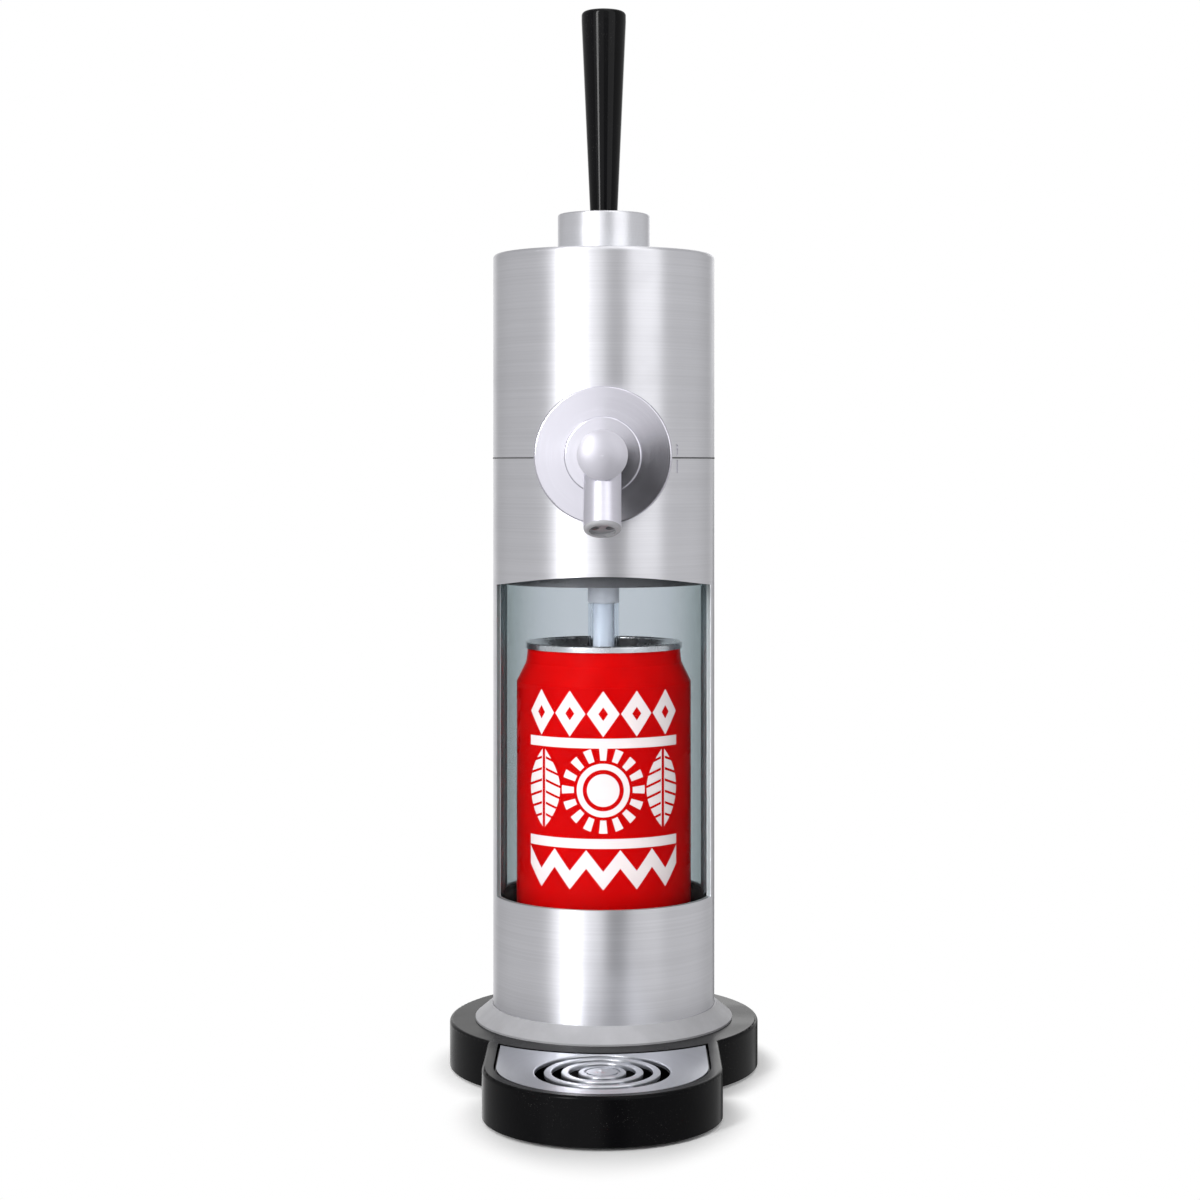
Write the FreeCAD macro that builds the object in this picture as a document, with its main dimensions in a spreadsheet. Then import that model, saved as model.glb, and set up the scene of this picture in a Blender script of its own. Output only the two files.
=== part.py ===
import FreeCAD
import Part
import math
import os
import re
import Sketcher
from FreeCAD import Placement, Rotation, Vector

# Canned beer dispenser: a can stands in a round tower behind a window, and a head with a tap closes it.
# Frame: +Z up, the tap points along -Y, the origin is where the tower's axis meets the table.
# All sizes are millimetres, angles are degrees.

SIZES = {
    # Base and its feet
    "base_r": 58.4,
    "base_top": 18.0,
    "base_under": 1.0,
    "base_wall": 2.4,
    "base_roof": 2.4,
    "base_edge": 1.2,
    "cover_thick": 2.0,
    "cover_gap": 0.3,
    "cover_post_r": 4.0,
    "cover_post_inset": 11.4,
    "foot_r": 6.0,
    "foot_thick": 1.8,
    "foot_gap": 0.15,
    "foot_inset": 11.4,
    "foot_spread": 25.0,
    "foot_front": 89.5,
    "foot_front_x": 28.0,
    # Apron with the drip tray
    "apron_half": 42.0,
    "apron_centre": 76.0,
    "apron_rim": 4.0,
    "well_back_r": 58.0,
    "well_floor": 6.0,
    "well_wall": 2.0,
    "tray_gap": 0.4,
    "tray_wall": 1.8,
    "tray_floor": 1.6,
    "plate_gap": 1.0,
    "plate_thick": 1.4,
    "plate_sink": 0.2,
    "grille_y": 83.5,
    "grille_hub_r": 8.3,
    "grille_slot": 3.3,
    "grille_bar": 2.65,
    "grille_crown": 0.45,
    "grille_groove_r": 5.85,
    "grille_groove_w": 0.9,
    "grille_nub_r": 2.0,
    "rib_width": 2.0,
    "rib_depth": 1.8,
    "rib_angle": 30.0,
    # Tower
    "skirt_reach": 6.7,
    "skirt_edge": 0.7,
    "skirt_top": 23.8,
    "skirt_lip": 0.5,
    "skirt_seat": 20.0,
    "skirt_gap": 0.1,
    "skirt_screw_out": 2.4,
    "skirt_screw_depth": 2.2,
    "tower_r": 42.0,
    "shell_wall": 1.5,
    "seam_z": 230.1,
    "seam_ring": 0.5,
    "seam_proud": 0.15,
    "window_low": 65.6,
    "window_side_top": 182.6,
    "window_mid_top": 186.8,
    "window_angle": 73.0,
    "rear_low": 65.6,
    "rear_top": 182.6,
    "rear_angle": 73.0,
    "tube_gap": 0.3,
    "tube_wall": 2.0,
    "tube_top": 218.6,
    "gasket_thick": 1.5,
    "cup_floor_z": 31.6,
    "cup_floor": 3.0,
    "cup_top": 63.6,
    "cup_post_r": 4.5,
    "cup_post_reach": 28.0,
    "pad_r": 31.0,
    "pad_thick": 4.0,
    "mark_width": 1.1,
    "mark_depth": 0.35,
    "mark_angle": 40.0,
    "mark_low_height": 4.6,
    "mark_high_height": 2.6,
    "mark_step": 0.6,
    "mark_dot_r": 0.6,
    # Can
    "can_r": 33.1,
    "can_height": 122.0,
    "can_wall": 0.45,
    "can_stand_r": 24.5,
    "can_stand_bend": 1.2,
    "can_heel": 9.0,
    "can_dome": 9.5,
    "can_neck_r": 28.9,
    "can_neck_drop": 15.0,
    "can_shoulder": 7.3,
    "can_shoulder_in": 3.6,
    "can_seam_r": 29.7,
    "can_seam_height": 2.4,
    "lid_panel_r": 23.6,
    "lid_sink": 6.0,
    "lid_thick": 0.5,
    "mouth_r": 8.4,
    "tab_thick": 1.0,
    # Straw between the can and the tap
    "straw_y": 13.0,
    "ceiling_z": 182.6,
    "collar_end_r": 5.9,
    "collar_end_low": 176.1,
    "straw_r": 4.0,
    "straw_bore": 2.9,
    "straw_low": 51.6,
    "straw_seat": 2.0,
    "sleeve_r": 5.9,
    "sleeve_top": 175.8,
    "sleeve_low": 56.6,
    "sleeve_gap": 0.1,
    # Head
    "head_top": 307.2,
    "head_wall": 1.6,
    "head_roof": 2.0,
    "head_edge": 1.5,
    "spigot_gap": 0.3,
    "spigot_wall": 3.0,
    "spigot_floor": 3.0,
    "seal_z": 198.6,
    "seal_r": 1.1,
    "seal_gap": 0.2,
    "lip_height": 4.3,
    "lip_gap": 0.3,
    "lip_wall": 2.0,
    "rod_r": 3.0,
    "rod_reach": 25.0,
    # Battery bay
    "cell_r": 7.2,
    "cell_length": 49.5,
    "cell_pitch": 15.0,
    "cell_gap": 0.4,
    "bay_wall": 1.6,
    "bay_gap": 0.3,
    "bay_floor": 2.2,
    "bay_deep": 19.5,
    "bay_inset": 5.5,
    "shelf_thick": 2.0,
    "contact_thick": 0.4,
    "hatch_low": 238.1,
    "hatch_high": 287.1,
    "hatch_gap": 0.3,
    "hatch_tongue": 1.2,
    "hatch_tongue_depth": 3.4,
    # Tap
    "tap_z": 230.9,
    "flange_r": 25.1,
    "flange_stand": 4.2,
    "flange_edge": 0.7,
    "saddle_gap": 0.3,
    "boss_r": 14.1,
    "boss_thick": 4.4,
    "shank_r": 8.9,
    "shank_length": 26.0,
    "tail_r": 7.0,
    "tail_gap": 0.15,
    "nipple_r": 2.2,
    "nipple_gap": 0.2,
    "bore_r": 1.5,
    "cap_dome": 2.5,
    "cap_rim": 0.7,
    "spout_r": 6.6,
    "spout_bore": 4.7,
    "spout_setback": 11.1,
    "spout_tilt": 26.0,
    "spout_length": 29.5,
    "spout_lip": 1.2,
    "insert_sink": 1.2,
    "insert_thick": 5.0,
    "insert_hole": 1.5,
    "insert_spread": 2.6,
    "nut_flat": 18.0,
    "nut_thick": 4.0,
    "seat_inset": 10.5,
    "seat_half": 11.0,
    "seat_low": 220.6,
    "seat_high": 241.6,
    "notch_gap": 2.5,
    "horn_r": 10.0,
    "horn_thick": 2.0,
    # Lever
    "bonnet_r": 17.5,
    "bonnet_bore": 13.1,
    "bonnet_top": 322.6,
    "bonnet_roof": 1.6,
    "bonnet_edge": 0.8,
    "pivot_z": 310.6,
    "pin_r": 2.0,
    "pin_gap": 0.05,
    "drum_r": 10.0,
    "drum_half": 6.5,
    "lever_forward": 25.0,
    "lever_back": 15.0,
    "handle_low_r": 5.2,
    "handle_high_r": 8.5,
    "handle_top": 400.6,
    "handle_crown": 4.5,
    "handle_dome": 0.7,
    "handle_round": 1.7,
    "slot_gap": 0.7,
    "stem_r": 3.0,
    "stem_low": 313.2,
    "stem_high": 350.6,
    "arm_length": 17.0,
    "arm_half": 1.5,
    "arm_width": 3.0,
    "bracket_half_x": 29.0,
    "bracket_half_y": 17.0,
    "bracket_thick": 3.0,
    "bracket_gap": 0.4,
    "ear_left_out": 10.0,
    "ear_right_in": 9.4,
    "ear_right_out": 12.0,
    "ear_half": 4.0,
    "ear_top": 315.1,
    "bracket_screw_reach": 15.3,
    "spring_wire": 0.3,
    "spring_r": 3.0,
    "spring_pitch": 0.75,
    "spring_leg": 14.0,
    "peg_r": 2.6,
    "peg_drop": 12.6,
    "post_drop": 6.0,
    "peg_gap": 0.1,
    # Circuit board and switches
    "board_top": 291.8,
    "board_thick": 1.6,
    "board_half_x": 21.0,
    "board_front_inset": 14.0,
    "board_back_inset": 22.0,
    "standoff_x": 16.0,
    "standoff_inset": 7.0,
    "standoff_r": 2.6,
    "switch_width": 12.8,
    "switch_deep": 6.4,
    "switch_tall": 6.6,
    "button_r": 1.2,
    "button_out": 0.8,
    "button_gap": 0.1,
    # Air pump and its hose
    "pump_inset": 27.0,
    "motor_r": 12.0,
    "motor_top": 212.6,
    "cradle_gap": 0.2,
    "cradle_wall": 1.8,
    "cradle_top": 195.6,
    "pump_half": 11.0,
    "pump_top": 229.6,
    "outlet_z": 220.6,
    "barb_r": 1.5,
    "barb_length": 4.0,
    "hose_r": 2.5,
    "hose_bend": 9.0,
    "valve_r": 5.0,
    "valve_top": 201.6,
    "port_r": 2.5,
    "beer_hose_r": 3.5,
    "beer_bend": 8.0,
    "lead_r": 0.7,
    "lead_bend": 3.0,
    "lead_start": 201.6,
    "lead_x": 19.6,
    "lead_pitch": 4.0,
    # Screws
    "screw_r": 1.45,
    "screw_head_r": 2.7,
    "screw_head": 1.8,
    "pilot_gap": 0.05,
    "hole_gap": 0.25,
}

# Places that follow from the sizes, also as cells of the sheet
PLACES = {
    "skirt_r": "tower_r + skirt_reach",
    "skirt_screw_reach": "tower_r + skirt_screw_out",
    "bay_back": "tower_r - bay_inset",
    "bay_front": "bay_back - bay_deep",
    "cell_y": "bay_front + bay_wall + cell_gap + cell_r",
    "flange_front": "tower_r + flange_stand",
    "boss_front": "flange_front + boss_thick",
    "shank_front": "boss_front + shank_length",
    "spout_root": "shank_front - spout_setback",
    "seat_y": "tower_r - seat_inset",
    "tail_end": "seat_y - nut_thick - horn_thick",
    "nipple_end": "straw_y + beer_bend + nipple_gap",
    "board_front": "tower_r - board_front_inset",
    "board_back": "tower_r - board_back_inset",
    "standoff_y": "board_back - standoff_inset",
    "pump_y": "0.8 * (tower_r - pump_inset)",
}

doc = FreeCAD.newDocument("CannedBeerDispenser")
sheet = doc.addObject("Spreadsheet::Sheet", "Dims")
for line, (alias, content) in enumerate(list(SIZES.items()) + list(PLACES.items()), start=1):
    sheet.set("A%d" % line, alias)
    sheet.set("B%d" % line, "=" + content if alias in PLACES else str(content))
    sheet.setAlias("B%d" % line, alias)
doc.recompute()

# Directions that a round piece can be turned to; its own axis is Z
UP = Rotation()
ALONG_X = Rotation(Vector(0, 1, 0), 90)
ALONG_FRONT = Rotation(Vector(1, 0, 0), 90)

# Shared places, worked out from the sizes
BRACKET_LOW = "head_top - head_roof - bracket_thick"
BAY_LOW = "seam_z + seam_ring / 2 + lip_height"
BAY_HALF = "(cell_pitch / 2 + cell_r + bay_gap + bay_wall)"
BAY_HIGH = "(" + BAY_LOW + " + 2 * bay_floor + cell_length + 2 * contact_thick + 0.2)"
VALVE_X = "(pump_half + barb_length + hose_bend)"
POUR_Y = "(arm_half * cos(lever_forward) + arm_length * sin(lever_forward) + button_gap)"
FOAM_Y = "(arm_half * cos(lever_back) + arm_length * sin(lever_back) + button_gap)"
BUTTON_Z = "pivot_z - arm_length + 1.6"

parts = {}


def bound(text):
    """Give every size name in an expression the sheet's name in front."""
    names = set(SIZES) | set(PLACES)
    return re.sub(r"[a-z]\w*", lambda word: "Dims." * (word.group(0) in names) + word.group(0), text)


def size(text):
    """The value of an expression in size names."""
    return float(sheet.evalExpression(text))


def bind(item, prop, text):
    item.setExpression(prop, bound(text))


def place(item, x="0", y="0", z="0", turn=UP, yaw=None):
    """Turn an object and bind its place to expressions, and its angle about the upright axis if that is given."""
    item.Placement = Placement(Vector(), turn)
    if yaw is not None:
        bind(item, "Placement.Rotation.Yaw", yaw)
    for axis, text in (("x", x), ("y", y), ("z", z)):
        bind(item, "Placement.Base." + axis, text)
    return item


def node(item, name):
    """Name a finished sub-part, which is written to its own file."""
    item.Label = name
    parts[name] = item
    return item


def cylinder(name, radius, height, x="0", y="0", z="0", turn=UP):
    item = doc.addObject("Part::Cylinder", name)
    bind(item, "Radius", radius)
    bind(item, "Height", height)
    return place(item, x, y, z, turn)


def box(name, x_low, x_high, y_low, y_high, z_low, z_high):
    item = doc.addObject("Part::Box", name)
    bind(item, "Length", "(%s) - (%s)" % (x_high, x_low))
    bind(item, "Width", "(%s) - (%s)" % (y_high, y_low))
    bind(item, "Height", "(%s) - (%s)" % (z_high, z_low))
    return place(item, x_low, y_low, z_low)


def cut(name, base, *tools):
    for number, tool in enumerate(tools):
        item = doc.addObject("Part::Cut", name if number == len(tools) - 1 else "%s_step%d" % (name, number))
        item.Base = base
        item.Tool = tool
        base = item
    return base


def fuse(name, *pieces):
    item = doc.addObject("Part::MultiFuse", name)
    item.Shapes = list(pieces)
    return item


def common(name, *pieces):
    item = doc.addObject("Part::MultiCommon", name)
    item.Shapes = list(pieces)
    return item


def group(name, pieces):
    """Separate solids that share one node."""
    item = doc.addObject("Part::Compound", name)
    item.Links = list(pieces)
    return item


def rounded(name, base, radius, wanted):
    """Fillet the edges of base that wanted(edge) picks."""
    doc.recompute()
    amount = size(radius)
    edges = [(number, amount, amount) for number, edge in enumerate(base.Shape.Edges, start=1) if wanted(edge)]
    item = doc.addObject("Part::Fillet", name)
    item.Base = base
    item.Edges = edges
    return item


def flat_edge(edge, height, radius=None):
    """Whether an edge lies at one height, and is round with one radius if that is asked."""
    bounds = edge.BoundBox
    level = abs(bounds.ZMin - height) < 0.01 and abs(bounds.ZMax - height) < 0.01
    if radius is None or not level:
        return level
    return hasattr(edge.Curve, "Radius") and abs(edge.Curve.Radius - radius) < 0.01


def sketch_in(body, name, plane, corners, offset="0"):
    """A closed outline. A corner is (x, y), or (x, y, via_x, via_y) where an arc reaches it through via."""
    sketch = body.newObject("Sketcher::SketchObject", name)
    origin = [item for item in body.Origin.OriginFeatures if item.Role == plane][0]
    sketch.AttachmentSupport = [(origin, "")]
    sketch.MapMode = "FlatFace"
    bind(sketch, "AttachmentOffset.Base.z", offset)
    spots = [Vector(size(corner[0]), size(corner[1]), 0) for corner in corners]
    starts = []
    ends = []
    for index, here in enumerate(spots):
        following = (index + 1) % len(spots)
        there = spots[following]
        via = corners[following][2:]
        if not via:
            edge = sketch.addGeometry(Part.LineSegment(here, there), False)
            starts.append((edge, 1))
            ends.append((edge, 2))
            continue
        middle = Vector(size(via[0]), size(via[1]), 0)
        arc = Part.Arc(here, middle, there).toShape().Curve
        centre = Vector(arc.Center.x, arc.Center.y, 0)
        turns_left = (middle - here).cross(there - middle).z > 0
        first, last = (here, there) if turns_left else (there, here)
        angles = [math.atan2(spot.y - centre.y, spot.x - centre.x) for spot in (first, last)]
        circle = Part.Circle(centre, Vector(0, 0, 1), arc.Radius)
        edge = sketch.addGeometry(Part.ArcOfCircle(circle, angles[0], angles[1]), False)
        starts.append((edge, 1 if turns_left else 2))
        ends.append((edge, 2 if turns_left else 1))
        guide = sketch.addGeometry(Part.Point(middle), True)
        sketch.addConstraint(Sketcher.Constraint("PointOnObject", guide, 1, edge))
        pin_point(sketch, guide, 1, middle, via)
    for index in range(len(spots)):
        following = (index + 1) % len(spots)
        sketch.addConstraint(Sketcher.Constraint("Coincident", *ends[index], *starts[following]))
    for index, spot in enumerate(spots):
        pin_point(sketch, *starts[index], spot, corners[index])
    return sketch


def pin_point(sketch, edge, end, spot, texts):
    """Hold a sketch point at two bound distances from the origin."""
    for kind, value, text in (("DistanceX", spot.x, texts[0]), ("DistanceY", spot.y, texts[1])):
        number = sketch.addConstraint(Sketcher.Constraint(kind, -1, 1, edge, end, value))
        bind(sketch, "Constraints[%d]" % number, text)


def dome(rim_r, base, rise, down=False):
    """The corner on the axis that an arc reaches from a rim, so that the turned surface is part of a ball."""
    ball = "(((%s)^2 + (%s)^2) / (2 * (%s)))" % (rim_r, rise, rise)
    drop = "(%s - sqrt(%s^2 - (%s)^2 / 4))" % (ball, ball, rim_r)
    via = ("(%s) / 2" % rim_r, "(%s) + (%s) - %s" % (base, rise, drop))
    if down:
        return (rim_r, base) + via
    return ("0", "(%s) + (%s)" % (base, rise)) + via


def turned(name, corners, x="0", y="0", z="0", turn=UP):
    """A round piece: its half outline, as (radius, height), goes all the way round the axis."""
    body = doc.addObject("PartDesign::Body", name)
    sketch = sketch_in(body, name + "_outline", "XZ_Plane", corners)
    revolution = body.newObject("PartDesign::Revolution", name + "_turn")
    revolution.Profile = sketch
    revolution.ReferenceAxis = (sketch, ["V_Axis"])
    revolution.Angle = 360
    return place(body, x, y, z, turn)


def ring(name, inner, outer, low, high, x="0", y="0", z="0", turn=UP):
    corners = [(inner, low), (outer, low), (outer, high), (inner, high)]
    return turned(name, corners, x, y, z, turn)


def slab(name, corners, low, height, x="0", y="0", z="0", turn=UP):
    """A flat piece: an outline in X and Y, raised from low by height."""
    body = doc.addObject("PartDesign::Body", name)
    sketch = sketch_in(body, name + "_outline", "XY_Plane", corners, low)
    pad = body.newObject("PartDesign::Pad", name + "_pad")
    pad.Profile = sketch
    bind(pad, "Length", height)
    return place(body, x, y, z, turn)


def around(reach, degrees):
    """Expressions for a point at a reach from the axis, its angle counted from +X."""
    return ("(%s) * cos(%s)" % (reach, degrees), "(%s) * sin(%s)" % (reach, degrees))


def screw(name, length, x, y, z):
    """A pan-head screw whose head starts at z and whose shank goes up from it."""
    head = cylinder(name + "_head", "screw_head_r", "screw_head", x, y, z)
    shank = cylinder(name + "_shank", "screw_r", length, x, y, "(%s) + screw_head" % z)
    return fuse(name, head, shank)


def apron(name, half, back_r, low, high):
    """The tray's outline, raised: two straight sides, a round front and a back concentric with the tower."""
    side = cylinder(name + "_front", half, "(%s) - (%s)" % (high, low), "0", "-apron_centre", low)
    middle = box(name + "_middle", "-(%s)" % half, half, "-apron_centre", "0", low, high)
    whole = fuse(name + "_whole", side, middle)
    if back_r is None:
        return whole
    back = cylinder(name + "_back", back_r, "(%s) - (%s)" % (high, low), "0", "0", low)
    return cut(name, whole, back)


# Base: a round foot under the tower, with an apron in front that holds the drip tray

def make_base():
    disc = cylinder("base_disc", "base_r", "base_top - base_under", z="base_under")
    front = apron("base_apron", "apron_half", None, "base_under", "base_top")
    outer = fuse("base_outer", disc, front)
    eased = rounded("base_eased", outer, "base_edge", lambda edge: flat_edge(edge, size("base_top")))
    room_high = "base_top - base_roof"
    room_disc = cylinder("base_room_disc", "base_r - base_wall", "%s - base_under" % room_high, z="base_under")
    room_front = apron("base_room_front", "apron_half - base_wall", None, "base_under", room_high)
    room = fuse("base_room", room_disc, room_front)
    hollow = cut("base_hollow", eased, room)
    well_half = "apron_half - apron_rim"
    block = apron("well_block", well_half + " + well_wall", "well_back_r - well_wall",
                  "well_floor - well_wall", "base_top - base_edge")
    well = apron("well_space", well_half, "well_back_r", "well_floor", "base_top + 1")
    posts = []
    for number, degrees in enumerate((45, 135, 225, 315)):
        x, y = around("base_r - cover_post_inset", degrees)
        low = "base_under + cover_thick"
        post_height = "base_top - base_roof - base_under - cover_thick + 0.2"
        post = cylinder("cover_post%d" % number, "cover_post_r", post_height, x, y, low)
        posts.append(post)
    solid = fuse("base_solid", hollow, block, *posts)
    bores = []
    for number, degrees in enumerate((45, 135, 225, 315)):
        x, y = around("base_r - cover_post_inset", degrees)
        bores.append(cylinder("cover_bore%d" % number, "screw_r + pilot_gap", "12", x, y, "base_under"))
    for number, degrees in enumerate((90, 210, 330)):
        x, y = around("cup_post_reach", degrees)
        bores.append(cylinder("cup_bore%d" % number, "screw_r + hole_gap", "base_top", x, y, "base_under"))
        x, y = around("skirt_screw_reach", degrees + 60)
        bores.append(cylinder("skirt_bore%d" % number, "screw_r + hole_gap", "base_top", x, y, "base_under"))
    node(cut("base_body", solid, well, *bores), "base_body")

    cover_disc = cylinder("cover_disc", "base_r - base_wall - cover_gap", "cover_thick", z="base_under")
    cover_front = apron("cover_front", "apron_half - base_wall - cover_gap", None,
                        "base_under", "base_under + cover_thick")
    cover = fuse("cover_whole", cover_disc, cover_front)
    holes = []
    feet = []
    screws = []
    for number, degrees in enumerate((45, 135, 225, 315)):
        x, y = around("base_r - cover_post_inset", degrees)
        holes.append(cylinder("cover_hole%d" % number, "screw_r + hole_gap", "10", x, y, "0"))
        holes.append(cylinder("cover_sink%d" % number, "screw_head_r + hole_gap", "screw_head * 0.5",
                              x, y, "base_under"))
        screws.append(screw("cover_screw%d" % number, "8", x, y, "base_under - screw_head * 0.5"))
    foot_reach = "base_r - foot_inset"
    spots = [around(foot_reach, "90 - foot_spread"), around(foot_reach, "90 + foot_spread"),
             ("foot_front_x", "-foot_front"), ("-foot_front_x", "-foot_front")]
    for number, (x, y) in enumerate(spots):
        holes.append(cylinder("foot_socket%d" % number, "foot_r + foot_gap", "foot_thick - base_under",
                              x, y, "base_under"))
        disc = cylinder("foot_disc%d" % number, "foot_r", "foot_thick", x, y, "0")
        feet.append(rounded("foot%d" % number, disc, "0.3", lambda edge: flat_edge(edge, 0)))
    node(cut("base_cover", cover, *holes), "base_cover")
    node(group("cover_screws", screws), "cover_screws")
    node(group("rubber_feet", feet), "rubber_feet")


# Drip tray: a cup that drops into the well, and the slotted plate that lies on its walls

def make_tray():
    top = "base_top - plate_sink - plate_thick"
    half = "apron_half - apron_rim - tray_gap"
    back = "well_back_r + tray_gap"
    outer = apron("tray_outer", half, back, "well_floor", top)
    inner = apron("tray_inner", half + " - tray_wall", back + " + tray_wall", "well_floor + tray_floor", top + " + 1")
    node(cut("drip_tray", outer, inner), "drip_tray")

    plate = apron("plate_blank", "apron_half - apron_rim - plate_gap", "well_back_r + plate_gap",
                  top, "base_top - plate_sink")
    slots = []
    for number in range(3):
        low_r = "grille_hub_r + %d * (grille_slot + grille_bar)" % number
        high_r = low_r + " + grille_slot"
        slots.append(ring("grille_slot%d" % number, low_r, high_r, "well_floor", "base_top + 1", y="-grille_y"))
    high = "base_top - plate_sink"
    groove = ring("grille_groove", "grille_groove_r - grille_groove_w / 2", "grille_groove_r + grille_groove_w / 2",
                  high + " - 0.5", high + " + 1", y="-grille_y")
    slotted = cut("plate_slotted", plate, *slots, groove)
    crowned = rounded("plate_crowned", slotted, "grille_crown", is_slot_rim)
    nub = turned("grille_nub", [("0", high + " - 0.2"), ("grille_nub_r", high + " - 0.2"), ("grille_nub_r", high),
                                dome("grille_nub_r", high, "0.5")], y="-grille_y")
    ribs = [grille_rib("grille_rib0", "rib_angle", top), grille_rib("grille_rib1", "-rib_angle", top)]
    node(fuse("drip_grille", crowned, nub, *ribs), "drip_grille")


def grille_rib(name, angle, top):
    """A bar under the grille that runs through its centre and ties the rings together."""
    reach = "(grille_hub_r + 3 * grille_slot + 2 * grille_bar + 0.8)"
    rib = doc.addObject("Part::Box", name)
    bind(rib, "Length", "rib_width")
    bind(rib, "Width", "2 * " + reach)
    bind(rib, "Height", "rib_depth + 0.3")
    x = "%s * sin(%s) - rib_width / 2 * cos(%s)" % (reach, angle, angle)
    y = "-grille_y - %s * cos(%s) - rib_width / 2 * sin(%s)" % (reach, angle, angle)
    return place(rib, x, y, top + " - rib_depth", UP, angle)


def is_slot_rim(edge):
    """The upper round edges of the grille's slots, whose circles share the grille's centre."""
    if not flat_edge(edge, size("base_top - plate_sink")) or not hasattr(edge.Curve, "Center"):
        return False
    centre = edge.Curve.Center
    on_axis = abs(centre.x) < 0.01 and abs(centre.y + size("grille_y")) < 0.01
    return on_axis and edge.Curve.Radius > size("grille_hub_r") - 0.01


# Tower: skirt ring, shell with its front and rear windows, cup for the can, and the clear tube inside them

def make_tower():
    skirt = turned("skirt_turned", [("tower_r - shell_wall", "base_top"), ("skirt_r", "base_top"),
                                    ("skirt_r", "base_top + skirt_edge"),
                                    ("tower_r + skirt_gap + skirt_lip", "skirt_top"),
                                    ("tower_r + skirt_gap", "skirt_top"), ("tower_r + skirt_gap", "skirt_seat"),
                                    ("tower_r - shell_wall", "skirt_seat")])
    bores = []
    screws = []
    for number, degrees in enumerate((30, 150, 270)):
        x, y = around("skirt_screw_reach", degrees)
        bores.append(cylinder("skirt_pilot%d" % number, "screw_r + pilot_gap", "skirt_screw_depth", x, y, "base_top"))
        screws.append(screw("skirt_screw%d" % number, "base_roof + skirt_screw_depth - 0.3", x, y,
                            "base_top - base_roof - screw_head"))
    node(cut("skirt_ring", skirt, *bores), "skirt_ring")
    node(group("skirt_screws", screws), "skirt_screws")

    shell = ring("shell_tube", "tower_r - shell_wall", "tower_r", "skirt_seat", "seam_z - seam_ring / 2")
    view = slab("window_view", [("-tower_r * sin(window_angle)", "window_low"),
                                ("tower_r * sin(window_angle)", "window_low"),
                                ("tower_r * sin(window_angle)", "window_side_top"),
                                ("-tower_r * sin(window_angle)", "window_side_top", "0", "window_mid_top")],
                "0", "tower_r + 5", turn=ALONG_FRONT)
    wide = slab("window_wide", [("-tower_r - 2", "window_low"), ("tower_r + 2", "window_low"),
                                ("tower_r + 2", "window_side_top"), ("-tower_r - 2", "window_side_top")],
                "0", "tower_r + 5", turn=ALONG_FRONT)
    wedge = doc.addObject("Part::Cylinder", "window_wedge")
    bind(wedge, "Radius", "tower_r + 3")
    bind(wedge, "Height", "window_mid_top - window_low + 2")
    bind(wedge, "Angle", "2 * window_angle")
    place(wedge, z="window_low - 1", yaw="-90 - window_angle")
    window = common("window_space", fuse("window_both", view, wide), wedge)
    rear = doc.addObject("Part::Cylinder", "rear_space")
    bind(rear, "Radius", "tower_r + 3")
    bind(rear, "Height", "rear_top - rear_low")
    bind(rear, "Angle", "2 * rear_angle")
    place(rear, z="rear_low", yaw="90 - rear_angle")
    notch = slab("shank_notch", [("-(tail_r + notch_gap)", "seam_z + 1"), ("-(tail_r + notch_gap)", "tap_z"),
                                 ("tail_r + notch_gap", "tap_z", "0", "tap_z - tail_r - notch_gap"),
                                 ("tail_r + notch_gap", "seam_z + 1")],
                 "tower_r - 6", "12", turn=ALONG_FRONT)
    mark = seam_mark("low_mark", "seam_z - seam_ring / 2 - mark_step - mark_low_height", "mark_low_height")
    node(cut("tower_shell", shell, window, rear, notch, mark), "tower_shell")

    outer = "tower_r - shell_wall - tube_gap"
    inner = outer + " - tube_wall"
    cup = turned("cup_turned", [("0", "cup_floor_z"), (inner, "cup_floor_z"), (inner, "base_top"),
                                (outer, "base_top"), (outer, "cup_top"), (inner, "cup_top"),
                                (inner, "cup_floor_z + cup_floor"), ("0", "cup_floor_z + cup_floor")])
    posts = []
    bores = []
    screws = []
    for number, degrees in enumerate((90, 210, 330)):
        x, y = around("cup_post_reach", degrees)
        posts.append(cylinder("cup_post%d" % number, "cup_post_r", "cup_floor_z - base_top + 1", x, y, "base_top"))
        bores.append(cylinder("cup_pilot%d" % number, "screw_r + pilot_gap", "11", x, y, "base_top"))
        screws.append(screw("cup_screw%d" % number, "base_roof + 10", x, y, "base_top - base_roof - screw_head"))
    node(cut("can_cup", fuse("cup_solid", cup, *posts), *bores), "can_cup")
    node(group("cup_screws", screws), "cup_screws")

    top = "cup_top + gasket_thick"
    node(ring("chamber_gasket", inner, outer, "cup_top", top), "chamber_gasket")
    node(ring("window_tube", inner, outer, top, "tube_top"), "window_tube")
    pad_low = "cup_floor_z + cup_floor"
    node(turned("can_pad", [("0", pad_low), ("pad_r", pad_low), ("pad_r", pad_low + " + pad_thick - 1"),
                            ("pad_r - 1", pad_low + " + pad_thick"), ("0", pad_low + " + pad_thick")]), "can_pad")


def seam_mark(name, low, height):
    """A shallow upright groove in the tower's side, which shows how the head lines up."""
    blank = doc.addObject("Part::Box", name)
    bind(blank, "Length", "mark_depth + 1")
    bind(blank, "Width", "mark_width")
    bind(blank, "Height", height)
    angle = "(mark_angle - 90)"
    x = "(tower_r - mark_depth) * cos%s + mark_width / 2 * sin%s" % (angle, angle)
    y = "(tower_r - mark_depth) * sin%s - mark_width / 2 * cos%s" % (angle, angle)
    return place(blank, x, y, low, yaw="mark_angle - 90")


# Can: a drawn cup with a domed bottom and a neck, and the lid with its opened mouth and tab

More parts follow.
